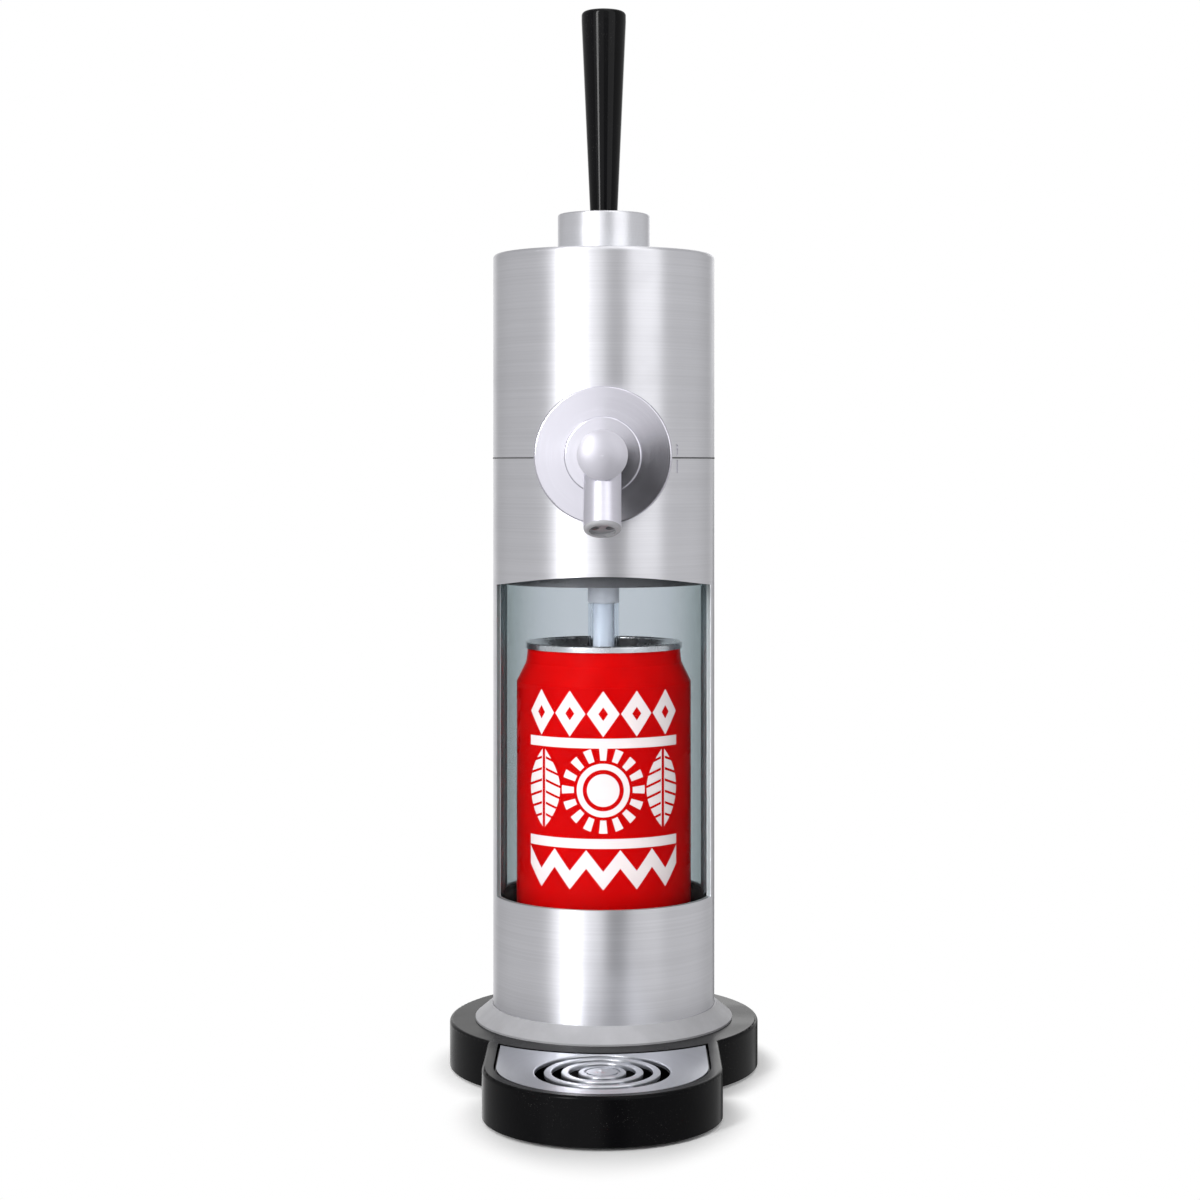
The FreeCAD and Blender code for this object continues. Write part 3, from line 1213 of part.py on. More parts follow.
def air_hose_solid(name, radius, past):
    """From the pump's barb sideways, a quarter turn, then down over the valve's barb."""
    out = cylinder(name + "_out", radius, "barb_length + %s" % past, "pump_half - %s" % past, "pump_y",
                   "outlet_z", ALONG_X)
    bend = doc.addObject("Part::Torus", name + "_bend")
    bind(bend, "Radius1", "hose_bend")
    bind(bend, "Radius2", radius)
    bend.Angle3 = 90
    place(bend, "pump_half + barb_length", "pump_y", "outlet_z - hose_bend", Rotation(Vector(1, 0, 0), 90))
    down = cylinder(name + "_down", radius, "outlet_z - hose_bend - valve_top + %s" % past, VALVE_X, "pump_y",
                    "valve_top - %s" % past)
    return fuse(name, out, bend, down)


def beer_hose_solid(name, radius, past):
    """From the collar's nipple straight up, a quarter turn forward, then over the shank's nipple."""
    low = "ceiling_z + spigot_floor - %s" % past
    rise = cylinder(name + "_rise", radius, "tap_z - beer_bend - (%s)" % low, "0", "-straw_y", low)
    bend = doc.addObject("Part::Torus", name + "_bend")
    bind(bend, "Radius1", "beer_bend")
    bind(bend, "Radius2", radius)
    bend.Angle3 = 90
    place(bend, "0", "-straw_y - beer_bend", "tap_z - beer_bend",
          Rotation(Vector(0, 0, 1), 90).multiply(Rotation(Vector(1, 0, 0), 90)))
    out = cylinder(name + "_out", radius, "tail_end - straw_y - beer_bend + %s" % past, "0",
                   "-straw_y - beer_bend", "tap_z", ALONG_FRONT)
    return fuse(name, rise, bend, out)


make_base()
make_tray()
make_tower()
make_can()
make_straw()
make_head()
make_battery_bay()
make_tap()
make_lever()
make_electronics()
make_pump()
doc.recompute()

for item in doc.Objects:
    if "Invalid" in item.State or "Error" in item.State:
        raise RuntimeError("%s failed: %s" % (item.Name, item.State))
for name, item in parts.items():
    if item.Shape.isNull() or not item.Shape.isValid() or not item.Shape.Solids:
        raise RuntimeError("%s has no sound shape" % name)

os.makedirs("parts", exist_ok=True)
for name, item in parts.items():
    item.Shape.exportStep("parts/%s.step" % name)
print("%d sub-parts written" % len(parts))
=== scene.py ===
"""Canned beer dispenser: finishes, small details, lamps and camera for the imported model.

Lengths are metres. +Z is up, the tap points along -Y and the tower's axis is x = 0, y = 0.
"""
import math

import bmesh
import bpy
import numpy as np
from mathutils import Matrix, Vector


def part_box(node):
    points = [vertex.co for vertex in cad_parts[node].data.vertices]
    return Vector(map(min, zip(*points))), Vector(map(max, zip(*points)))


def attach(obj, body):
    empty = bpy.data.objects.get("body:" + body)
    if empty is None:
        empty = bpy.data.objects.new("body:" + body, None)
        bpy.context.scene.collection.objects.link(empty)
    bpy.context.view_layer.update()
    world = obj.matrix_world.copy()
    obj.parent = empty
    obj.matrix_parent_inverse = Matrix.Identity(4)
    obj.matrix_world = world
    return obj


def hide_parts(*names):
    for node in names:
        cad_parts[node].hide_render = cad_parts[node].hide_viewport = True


bl_info = {
    "name": "Canned beer dispenser",
    "version": (1, 0, 0),
    "blender": (4, 5, 0),
    "location": "3D Viewport > Sidebar > Dispenser",
    "description": "Finishes, details and studio for a table-top canned beer dispenser",
    "category": "Object",
}

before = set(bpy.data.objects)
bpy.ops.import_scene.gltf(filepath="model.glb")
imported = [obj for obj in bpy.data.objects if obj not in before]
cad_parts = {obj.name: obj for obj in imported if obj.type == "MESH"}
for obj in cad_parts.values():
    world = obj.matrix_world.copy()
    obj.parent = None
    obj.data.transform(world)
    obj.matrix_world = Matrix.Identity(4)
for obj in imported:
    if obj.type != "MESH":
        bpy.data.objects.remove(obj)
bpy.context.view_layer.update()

TAP_Z = 0.2309                  # height of the tap's axis
SPOUT_ROOT = (0.0, -0.0655, TAP_Z)
SPOUT_TILT = math.radians(26)
SPOUT_LIP = -0.0283             # where the rounded lip of the spout begins, along its own axis
GRILLE_CENTRE = (0.0, -0.0835, 0.0)
SHELL_INNER_R = 0.0405          # the tower shell's faces
SHELL_OUTER_R = 0.042
CUT_MIDDLE = 0.126              # the windows in the tower shell lie this high, half of them either way
CUT_HALF = 0.064
FOOT_CIRCLE = (0.0, 0.058)      # the base's outline on the floor: two circles, each (middle in Y, radius)
APRON_CIRCLE = (-0.076, 0.042)

CAN_R = 0.0331
PRINT_MIDDLE = 0.1071           # height of the print's middle
PRINT_HALF = 0.0315             # half the print's width
LOZENGE_PITCH = 0.0126
SUN_UP = 0.001                  # the sun and the leaves stand this far above the print's middle

PICTURE_PIXELS = 1200           # the photograph is square
SHIFT_PIXELS = (-19.6, -134)    # from the optical axis to the picture's centre
CAMERA_SIDE = 0.006             # the camera stands this far right of the tower's axis
LAMP_DISTANCE = 1.30            # the standing lamps' distance from the tower's axis

# The cards seen in reflections, as parts of the direction: where each starts and is full towards +X, where
# it starts and is full in height, and how much it changes the light. Both end at CARDS_END towards +X.
CARDS = (((0.02, 0.10), (0.04, -0.03), -0.95),
         ((-0.02, 0.04), (0.04, 0.16), 0.80))
CARDS_END = (0.46, 0.34)
WHITE = (1, 1, 1, 1)


# Shader nodes

class Bench:
    """Adds shader nodes to one tree and joins them.

    A value is a number, a colour or another node's socket.
    """

    def __init__(self, tree):
        self.tree = tree

    def node(self, kind, values=None, **settings):
        item = self.tree.nodes.new(kind)
        for key, value in settings.items():
            setattr(item, key, value)
        for key, value in (values or {}).items():
            self.put(item.inputs[key], value)
        return item

    def put(self, socket, value):
        if isinstance(value, bpy.types.NodeSocket):
            self.tree.links.new(value, socket)
        else:
            socket.default_value = value

    def math(self, operation, first, second=0.0, third=None, clamp=False):
        values = {0: first, 1: second}
        if third is not None:
            values[2] = third
        return self.node("ShaderNodeMath", values, operation=operation, use_clamp=clamp).outputs[0]

    def length(self, x, y):
        """Length of the vector (x, y)."""
        squares = self.math("ADD", self.math("MULTIPLY", x, x), self.math("MULTIPLY", y, y))
        return self.math("SQRT", squares)

    def ramp(self, value, low, high, out_low=0.0, out_high=1.0):
        """Smooth step of a value from low to high."""
        item = self.node("ShaderNodeMapRange", {"Value": value, "From Min": low, "From Max": high,
                                                "To Min": out_low, "To Max": out_high},
                         interpolation_type="SMOOTHSTEP")
        return item.outputs[0]

    def between(self, value, centre, half, soft=0.00006):
        """1 where a value lies within half of centre, with a thin soft edge."""
        away = self.math("ABSOLUTE", self.math("SUBTRACT", value, centre))
        return self.ramp(away, half - soft, half + soft, 1.0, 0.0)

    def mix(self, factor, first, second):
        """The first colour at factor 0, the second at 1."""
        item = self.node("ShaderNodeMix", {"Factor": factor}, data_type="RGBA")
        self.put(item.inputs[6], first)
        self.put(item.inputs[7], second)
        return item.outputs[2]

    def split(self, vector):
        return self.node("ShaderNodeSeparateXYZ", {0: vector}).outputs

    def join(self, x, y, z):
        return self.node("ShaderNodeCombineXYZ", {0: x, 1: y, 2: z}).outputs[0]

    def noise(self, vector, scale, detail=2.0, rough=0.5):
        item = self.node("ShaderNodeTexNoise", {"Vector": vector, "Scale": scale, "Detail": detail,
                                                "Roughness": rough})
        return item.outputs["Fac"]

    def own_space(self, centre=(0, 0, 0), turn=(0, 0, 0)):
        """Object coordinates seen from a piece's own centre, turned so that its axis is Z."""
        coordinates = self.node("ShaderNodeTexCoord")
        if centre == (0, 0, 0) and turn == (0, 0, 0):
            return coordinates.outputs["Object"]
        mapping = self.node("ShaderNodeMapping", {"Vector": coordinates.outputs["Object"], "Location": centre,
                                                  "Rotation": turn}, vector_type="TEXTURE")
        return mapping.outputs["Vector"]


def new_group(name, inputs, outputs):
    """An empty node group. Inputs and outputs are (name, kind, default) and (name, kind)."""
    tree = bpy.data.node_groups.new(name, "ShaderNodeTree")
    for label, kind, default in inputs:
        socket = tree.interface.new_socket(label, in_out="INPUT", socket_type="NodeSocket" + kind)
        if default is not None:
            socket.default_value = default
    for label, kind in outputs:
        tree.interface.new_socket(label, in_out="OUTPUT", socket_type="NodeSocket" + kind)
    bench = Bench(tree)
    start = tree.nodes.new("NodeGroupInput").outputs
    end = tree.nodes.new("NodeGroupOutput").inputs
    return bench, start, end


def group_turned_lines():
    """Fine rings left by a lathe or a brushing belt on a turned piece whose axis is Z.

    The line's place is the distance from the axis plus the height, so flat faces, cones and tubes all
    get rings. Run is how fast a line changes along its length.
    """
    bench, start, end = new_group("Turned lines", [("Vector", "Vector", None), ("Fineness", "Float", 2500.0),
                                                   ("Run", "Float", 18.0)],
                                  [("Lines", "Float"), ("Streaks", "Float"), ("Bands", "Float"),
                                   ("Reach", "Float")])
    x, y, z = bench.split(start["Vector"])
    reach = bench.length(x, y)
    across = bench.math("ADD", reach, z)
    run_x = bench.math("MULTIPLY", x, start["Run"])
    run_y = bench.math("MULTIPLY", y, start["Run"])
    fine = bench.join(run_x, run_y, bench.math("MULTIPLY", across, start["Fineness"]))
    broad = bench.join(run_x, run_y,
                       bench.math("MULTIPLY", across, bench.math("MULTIPLY", start["Fineness"], 0.13)))
    slow = bench.join(bench.math("MULTIPLY", run_x, 2.6), bench.math("MULTIPLY", run_y, 2.6),
                      bench.math("MULTIPLY", across, bench.math("MULTIPLY", start["Fineness"], 0.45)))
    bench.put(end["Lines"], bench.noise(fine, 1.0, 3.0, 0.6))
    bench.put(end["Streaks"], bench.ramp(bench.noise(slow, 1.0, 2.0, 0.7), 0.60, 0.78))
    bench.put(end["Bands"], bench.noise(broad, 1.0, 2.0, 0.5))
    bench.put(end["Reach"], reach)
    return bench.tree


def group_handling():
    """Faint smudges from hands and wiping, and sparse fine dust."""
    bench, start, end = new_group("Handling", [("Vector", "Vector", None), ("Size", "Float", 60.0)],
                                  [("Smudge", "Float"), ("Dust", "Float")])
    cloud = bench.noise(start["Vector"], start["Size"], 4.0, 0.55)
    specks = bench.noise(start["Vector"], 3200.0, 1.0, 0.4)
    bench.put(end["Smudge"], bench.ramp(cloud, 0.42, 0.68))
    dust = bench.math("MULTIPLY", bench.ramp(specks, 0.70, 0.80), bench.ramp(cloud, 0.40, 0.70))
    bench.put(end["Dust"], dust)
    return bench.tree


def group_moulded_grain():
    """The fine spark-eroded grain of a moulded plastic face."""
    bench, start, end = new_group("Moulded grain", [("Vector", "Vector", None), ("Grain", "Float", 2200.0)],
                                  [("Height", "Float"), ("Flow", "Float")])
    pits = bench.node("ShaderNodeTexVoronoi", {"Vector": start["Vector"], "Scale": start["Grain"]},
                      feature="SMOOTH_F1")
    soft = bench.noise(start["Vector"], start["Grain"], 2.0, 0.6)
    bench.put(end["Height"], bench.math("MULTIPLY_ADD", pits.outputs["Distance"], 0.6,
                                        bench.math("MULTIPLY", soft, 0.5)))
    bench.put(end["Flow"], bench.noise(start["Vector"], 35.0, 3.0, 0.5))
    return bench.tree


def group_edge_wear():
    """A mask of worn edges: 1 where the rounded normal turns away from the face's own, broken up by noise."""
    bench, start, end = new_group("Edge wear", [("Vector", "Vector", None), ("Breakup", "Float", 500.0)],
                                  [("Edge", "Float")])
    rounded = bench.node("ShaderNodeBevel", {"Radius": 0.0005}, samples=4)
    plain = bench.node("ShaderNodeNewGeometry")
    turned = bench.node("ShaderNodeVectorMath", {0: rounded.outputs[0], 1: plain.outputs["Normal"]},
                        operation="DOT_PRODUCT")
    edge = bench.ramp(turned.outputs["Value"], 0.995, 0.86)
    chips = bench.ramp(bench.noise(start["Vector"], start["Breakup"], 3.0, 0.6), 0.38, 0.62)
    bench.put(end["Edge"], bench.math("MULTIPLY", edge, chips))
    return bench.tree


def group_can_print():
    """The can's generic print, on the can unrolled: sideways is the angle times the can's radius.

    From the top: a row of lozenges, a stripe, a sun between two leaves, a stripe and a zigzag band.
    The design stands at the front and again at the back.
    """
    bench, start, end = new_group("Can print", [("Vector", "Vector", None)],
                                  [("Ink", "Float"), ("Edge", "Float")])
    x, y, z = bench.split(start["Vector"])
    angle = bench.math("ARCTAN2", x, bench.math("MULTIPLY", y, -1.0))
    half_turn = bench.math("PINGPONG", bench.math("ABSOLUTE", angle), math.pi / 2)
    side = bench.math("MULTIPLY", half_turn, CAN_R)
    up = bench.math("SUBTRACT", z, PRINT_MIDDLE)

    def in_block(half):
        return bench.between(side, 0.0, half)

    step = bench.math("PINGPONG", side, LOZENGE_PITCH / 2)
    lozenge_up = bench.math("DIVIDE", bench.math("ABSOLUTE", bench.math("SUBTRACT", up, 0.0290)), 0.0084)
    lozenge = bench.math("ADD", bench.math("DIVIDE", step, 0.0060), lozenge_up)
    row = bench.math("MULTIPLY", bench.ramp(lozenge, 0.985, 1.015, 1.0, 0.0), in_block(PRINT_HALF))
    hole = bench.ramp(lozenge, 0.285, 0.315)
    row = bench.math("MULTIPLY", row, hole)

    stripe_high = bench.math("MULTIPLY", bench.between(up, 0.0182, 0.0018), in_block(PRINT_HALF))
    stripe_low = bench.math("MULTIPLY", bench.between(up, -0.0186, 0.0018), in_block(PRINT_HALF))

    above = bench.math("SUBTRACT", up, SUN_UP)
    reach = bench.length(side, above)
    spin = bench.math("ARCTAN2", above, side)
    rays = bench.ramp(bench.math("COSINE", bench.math("MULTIPLY", spin, 16.0)), -0.12, 0.12)
    rays = bench.math("MULTIPLY", rays, bench.between(reach, 0.0134, 0.0024))
    disc = bench.ramp(reach, 0.0098, 0.0099, 1.0, 0.0)
    ring = bench.between(reach, 0.0068, 0.0008)
    sun = bench.math("ADD", bench.math("MULTIPLY", disc, bench.math("SUBTRACT", 1.0, ring)), rays, clamp=True)

    leaf_side = bench.math("DIVIDE", bench.math("ABSOLUTE", bench.math("SUBTRACT", side, 0.0240)), 0.0074)
    leaf_up = bench.math("DIVIDE", above, 0.0150)
    leaf = bench.math("ADD", leaf_side, bench.math("MULTIPLY", leaf_up, leaf_up))
    vein = bench.between(leaf_side, 0.0, 0.085, 0.012)
    barb = bench.math("PINGPONG", bench.math("ADD", up, bench.math("MULTIPLY", leaf_side, 0.0024)), 0.0021)
    notch = bench.math("MULTIPLY", bench.ramp(barb, 0.00042, 0.00054, 1.0, 0.0),
                       bench.ramp(leaf_side, 0.10, 0.16))
    leaves = bench.math("MULTIPLY", bench.ramp(leaf, 0.985, 1.015, 1.0, 0.0),
                        bench.math("SUBTRACT", 1.0, bench.math("MAXIMUM", vein, notch)))

    tooth = bench.math("PINGPONG", side, 0.0063)
    wave = bench.math("SUBTRACT", up, bench.math("MULTIPLY_ADD", tooth, 1.25, -0.0322))
    zigzag = bench.math("MULTIPLY", bench.between(wave, 0.0, 0.0034), in_block(PRINT_HALF))

    ink = bench.math("ADD", row, stripe_high, clamp=True)
    for part in (stripe_low, sun, leaves, zigzag):
        ink = bench.math("ADD", ink, part, clamp=True)
    bench.put(end["Ink"], ink)
    bench.put(end["Edge"], bench.noise(start["Vector"], 900.0, 2.0, 0.6))
    return bench.tree


GROUP_MAKERS = {"Turned lines": group_turned_lines, "Handling": group_handling,
                "Moulded grain": group_moulded_grain, "Edge wear": group_edge_wear,
                "Can print": group_can_print}


def use_group(bench, name, values):
    """A group placed in a material. It is built the first time that it is asked for."""
    tree = bpy.data.node_groups.get(name) or GROUP_MAKERS[name]()
    item = bench.tree.nodes.new("ShaderNodeGroup")
    item.node_tree = tree
    for key, value in values.items():
        bench.put(item.inputs[key], value)
    return item.outputs


# Materials

def start_material(name):
    material = bpy.data.materials.new(name)
    material.use_nodes = True
    material.node_tree.nodes.clear()
    return material, Bench(material.node_tree)


def close_material(bench, shader):
    output = bench.node("ShaderNodeOutputMaterial")
    bench.put(output.inputs["Surface"], shader)


def bump(bench, height, strength, distance, normal=None):
    values = {"Height": height, "Strength": strength, "Distance": distance}
    if normal is not None:
        values["Normal"] = normal
    return bench.node("ShaderNodeBump", values).outputs[0]


def shade(colour, share):
    """The colour made lighter or darker by a share."""
    return tuple(min(1.0, max(0.0, part * share)) for part in colour[:3]) + (1.0,)


LINING = (0.90, 0.95, 0.98, 1)      # the blasted inner face of a shell
LINING_SHARE = 0.35                 # how much of it is bare metal
CUT_GREY = (0.40, 0.43, 0.44, 1)    # the cut edges of a shell
LIP_GREY = (0.40, 0.40, 0.42, 1)    # the dull end of a spout
DUST = (0.62, 0.61, 0.59, 1)
DROOP = 0.03                        # a crowned face also leans down by this slope


def turned_metal(name, colour, rough, lines, streaks, fineness=2600.0, run=10.0, centre=(0, 0, 0),
                 turn=(0, 0, 0), anisotropy=0.0, strength=0.25, inner_r=0.0, outer_r=0.0, share=1.0,
                 lip=None, crown=0.0):
    """Brushed or lathe-turned metal: rings of fine lines, brighter streaks and faint smudges.

    Where the piece is a shell, its inner face at inner_r is blasted matt and its cut edges are grey.
    Share is how much of the surface is bare metal. Below the height lip, the end of a spout is dull.
    Crown is the slope that a turned face has towards its rim.
    """
    material, bench = start_material(name)
    place = bench.own_space(centre, turn)
    grain = use_group(bench, "Turned lines", {"Vector": place, "Fineness": fineness, "Run": run})
    wiped = use_group(bench, "Handling", {"Vector": place, "Size": 45.0})
    tone = bench.math("MULTIPLY_ADD", grain["Bands"], 0.35, bench.math("MULTIPLY", grain["Lines"], 0.65))
    body = bench.mix(bench.ramp(tone, 0.3, 0.7), shade(colour, 1.0 - lines),
                     shade(colour, 1.0 + lines * 0.5))
    body = bench.mix(bench.math("MULTIPLY", grain["Streaks"], streaks), body, shade(colour, 1.22))
    body = bench.mix(bench.math("MULTIPLY", wiped["Dust"], 0.25), body, DUST)
    gloss = bench.math("MULTIPLY_ADD", grain["Lines"], 0.10, rough - 0.05)
    gloss = bench.math("MULTIPLY_ADD", wiped["Smudge"], 0.045, gloss)
    bare = share
    if lip is not None:
        dull = bench.ramp(bench.split(place)[2], lip + 0.0002, lip)
        body = bench.mix(dull, body, LIP_GREY)
        gloss = bench.math("MULTIPLY_ADD", dull, 0.25, gloss)
        bare = bench.math("MULTIPLY_ADD", dull, -0.75, 1.0)
    if inner_r:
        inside = bench.ramp(grain["Reach"], inner_r + 0.0002, inner_r + 0.0001)
        edge = bench.math("MULTIPLY", bench.ramp(grain["Reach"], outer_r - 0.0001, outer_r - 0.0002),
                          bench.between(bench.split(place)[2], CUT_MIDDLE, CUT_HALF, 0.0005))
        body = bench.mix(edge, body, CUT_GREY)
        body = bench.mix(inside, body, bench.mix(wiped["Smudge"], LINING, shade(LINING, 0.95)))
        gloss = bench.math("MAXIMUM", gloss, bench.math("MULTIPLY", edge, 0.55))
        bare = bench.math("MULTIPLY_ADD", inside, LINING_SHARE - 1.0, 1.0)
    domed = None
    if crown:
        rise = bench.math("MULTIPLY", bench.split(bench.own_space())[2], DROOP)
        domed = bump(bench, bench.math("MULTIPLY_ADD", grain["Reach"], -crown, rise), 1.0, 1.0)
    metal = {"Base Color": body, "Metallic": bare, "Roughness": gloss, "Anisotropic": anisotropy,
             "Anisotropic Rotation": 0.25,
             "Normal": bump(bench, bench.math("ADD", grain["Lines"], grain["Bands"]), strength, 0.00002,
                            domed)}
    if anisotropy:
        metal["Tangent"] = bench.node("ShaderNodeTangent", direction_type="RADIAL", axis="Z").outputs[0]
    close_material(bench, bench.node("ShaderNodeBsdfPrincipled", metal).outputs[0])
    return material


def satin_metal(name, colour, rough, metallic=1.0):
    """Plated, cast or painted metal with a fine orange peel and worn edges."""
    material, bench = start_material(name)
    place = bench.own_space()
    wiped = use_group(bench, "Handling", {"Vector": place, "Size": 70.0})
    worn = use_group(bench, "Edge wear", {"Vector": place, "Breakup": 380.0})
    peel = bench.noise(place, 900.0, 2.0, 0.5)
    body = bench.mix(bench.ramp(bench.noise(place, 120.0, 4.0, 0.6), 0.3, 0.7), shade(colour, 0.94),
                     shade(colour, 1.04))
    body = bench.mix(bench.math("MULTIPLY", worn["Edge"], 0.35), body, shade(colour, 1.35))
    gloss = bench.math("MULTIPLY_ADD", wiped["Smudge"], 0.07, rough - 0.02)
    metal = bench.node("ShaderNodeBsdfPrincipled", {
        "Base Color": body, "Metallic": metallic, "Roughness": gloss,
        "Normal": bump(bench, peel, 0.12, 0.00003)})
    close_material(bench, metal.outputs[0])
    return material


def moulded_plastic(name, colour, rough, grain=0.25, wear=0.25, fineness=2200.0, shine=0.35):
    """Moulded plastic or rubber: fine grain, slight flow tone, smudges, dust and paler worn edges."""
    material, bench = start_material(name)
    place = bench.own_space()
    skin = use_group(bench, "Moulded grain", {"Vector": place, "Grain": fineness})
    wiped = use_group(bench, "Handling", {"Vector": place, "Size": 38.0})
    worn = use_group(bench, "Edge wear", {"Vector": place, "Breakup": 420.0})
    body = bench.mix(bench.ramp(skin["Flow"], 0.35, 0.65), shade(colour, 0.88), shade(colour, 1.12))
    pale = tuple(0.75 * part + 0.10 for part in colour[:3]) + (1.0,)
    body = bench.mix(bench.math("MULTIPLY", worn["Edge"], wear), body, pale)
    body = bench.mix(bench.math("MULTIPLY", wiped["Dust"], 0.30), body, (0.42, 0.41, 0.39, 1))
    gloss = bench.math("MULTIPLY_ADD", wiped["Smudge"], 0.09, rough - 0.03)
    gloss = bench.math("MULTIPLY_ADD", skin["Flow"], 0.05, gloss)
    plastic = bench.node("ShaderNodeBsdfPrincipled", {
        "Base Color": body, "Metallic": 0.0, "Roughness": gloss, "Specular IOR Level": shine,
        "Normal": bump(bench, skin["Height"], grain, 0.00004)})
    close_material(bench, plastic.outputs[0])
    return material


def clear_plastic(name, tint, rough, ior=1.06, deep=None, rear=None):
    """Clear moulded plastic. Rays from lamps pass it, so what stands behind it is lit.

    Deep is its tint where the wall is seen edge-on, because the way through it is longer there. Rear is the
    smokier tint of the half behind the axis.
    """
    material, bench = start_material(name)
    place = bench.own_space()
    wiped = use_group(bench, "Handling", {"Vector": place, "Size": 30.0})
    gloss = bench.math("MULTIPLY_ADD", wiped["Smudge"], 0.025, rough)
    body = bench.mix(bench.math("MULTIPLY", wiped["Smudge"], 0.25), tint, shade(tint, 0.97))
    if rear is not None:
        body = bench.mix(bench.ramp(bench.split(place)[1], -0.004, 0.004), body, rear)
    if deep is not None:
        slant = bench.node("ShaderNodeLayerWeight", {"Blend": 0.5}).outputs["Facing"]
        body = bench.mix(bench.ramp(slant, 0.0, 0.70), body, deep)
    sag = bench.noise(place, 25.0, 1.0, 0.4)
    glass = bench.node("ShaderNodeBsdfPrincipled", {
        "Base Color": body, "Metallic": 0.0, "Roughness": gloss, "IOR": ior, "Transmission Weight": 1.0,
        "Normal": bump(bench, sag, 0.05, 0.0002)})
    lamp_rays = bench.node("ShaderNodeLightPath").outputs["Is Shadow Ray"]
    passed = bench.node("ShaderNodeBsdfTransparent", {"Color": (0.99, 0.99, 0.995, 1)})
    both = bench.node("ShaderNodeMixShader", {0: lamp_rays, 1: glass.outputs[0], 2: passed.outputs[0]})
    close_material(bench, both.outputs[0])
    return material


def milky_plastic(name, colour, rough, share):
    """Milky silicone or straw plastic: part of the light passes, the rest is scattered."""
    material, bench = start_material(name)
    place = bench.own_space()
    skin = use_group(bench, "Moulded grain", {"Vector": place, "Grain": 1400.0})
    wiped = use_group(bench, "Handling", {"Vector": place, "Size": 90.0})
    body = bench.mix(bench.ramp(skin["Flow"], 0.3, 0.7), shade(colour, 0.93), shade(colour, 1.05))
    gloss = bench.math("MULTIPLY_ADD", wiped["Smudge"], 0.08, rough)
    plastic = bench.node("ShaderNodeBsdfPrincipled", {
        "Base Color": body, "Metallic": 0.0, "Roughness": gloss, "IOR": 1.42, "Transmission Weight": share,
        "Normal": bump(bench, skin["Height"], 0.1, 0.00004)})
    close_material(bench, plastic.outputs[0])
    return material


def printed_can(name, red, cream):
    """Lacquered red aluminium with the generic cream print."""
    material, bench = start_material(name)
    place = bench.own_space()
    printed = use_group(bench, "Can print", {"Vector": place})
    wiped = use_group(bench, "Handling", {"Vector": place, "Size": 60.0})
    base = bench.mix(bench.ramp(bench.noise(place, 80.0, 3.0, 0.5), 0.3, 0.7), shade(red, 0.94),
                     shade(red, 1.05))
    paper = bench.mix(bench.math("MULTIPLY", printed["Edge"], 0.35), cream, shade(cream, 0.93))
    body = bench.mix(printed["Ink"], base, paper)
    gloss = bench.math("MULTIPLY_ADD", printed["Ink"], 0.10, 0.27)
    gloss = bench.math("MULTIPLY_ADD", wiped["Smudge"], 0.05, gloss)
    peel = bench.math("MULTIPLY_ADD", printed["Ink"], 0.5, bench.noise(place, 700.0, 2.0, 0.5))
    paint = bench.node("ShaderNodeBsdfPrincipled", {
        "Base Color": body, "Metallic": 0.0, "Roughness": gloss, "Specular IOR Level": 0.01,
        "Normal": bump(bench, peel, 0.10, 0.00004)})
    close_material(bench, paint.outputs[0])
    return material


def circuit_face(name, colour):
    """Green board lacquer with paler copper tracks under it."""
    material, bench = start_material(name)
    place = bench.own_space()
    y = bench.split(place)[1]
    bent = bench.math("ADD", y, bench.math("MULTIPLY", bench.noise(place, 60.0), 0.006))
    rows = bench.math("PINGPONG", bent, 0.0016)
    track = bench.ramp(rows, 0.00045, 0.0006, 1.0, 0.0)
    wiped = use_group(bench, "Handling", {"Vector": place, "Size": 90.0})
    body = bench.mix(bench.math("MULTIPLY", track, 0.5), colour, shade(colour, 2.1))
    lacquer = bench.node("ShaderNodeBsdfPrincipled", {
        "Base Color": body, "Metallic": 0.0,
        "Roughness": bench.math("MULTIPLY_ADD", wiped["Smudge"], 0.1, 0.3),
        "Coat Weight": 0.3, "Normal": bump(bench, track, 0.2, 0.00003)})
    close_material(bench, lacquer.outputs[0])
    return material


def cell_wrapper(name, dark, bright, low, high):
    """The printed sleeve of a dry cell: a dark body, and a bright band near its plus end."""
    material, bench = start_material(name)
    place = bench.own_space()
    x, _, z = bench.split(place)
    wiped = use_group(bench, "Handling", {"Vector": place, "Size": 120.0})
    side = bench.ramp(x, -0.0001, 0.0001)
    from_end = bench.mix(side, bench.join(bench.math("SUBTRACT", high, z), 0.0, 0.0),
                         bench.join(bench.math("SUBTRACT", z, low), 0.0, 0.0))
    far = bench.split(from_end)[0]
    band = bench.ramp(far, 0.0148, 0.0152, 1.0, 0.0)
    body = bench.mix(band, tuple(dark) + (1.0,), tuple(bright) + (1.0,))
    skin = bench.node("ShaderNodeBsdfPrincipled", {
        "Base Color": body, "Metallic": 0.6,
        "Roughness": bench.math("MULTIPLY_ADD", wiped["Smudge"], 0.1, 0.3),
        "Coat Weight": 0.4, "Normal": bump(bench, bench.noise(place, 500.0), 0.1, 0.00004)})
    close_material(bench, skin.outputs[0])
    return material


def dress(material, *names):
    """Puts a material on CAD nodes."""
    for name in names:
        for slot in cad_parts[name].material_slots:
            slot.material = material


# Shapes worked out with numpy

LOOP_STEPS = 96
BEAD_STEPS = 16
BUTTON_STEPS = 40
WEB_STEPS = 64
WEB_RINGS = 6
WEB_SQUARE = 2.6                # the web's superellipse
WEB_CROWN = 0.00015             # its middle stands this far above its rim


def full_turn(steps):
    """Angles of one turn, without its end."""
    return np.linspace(0, 2 * np.pi, steps, endpoint=False)


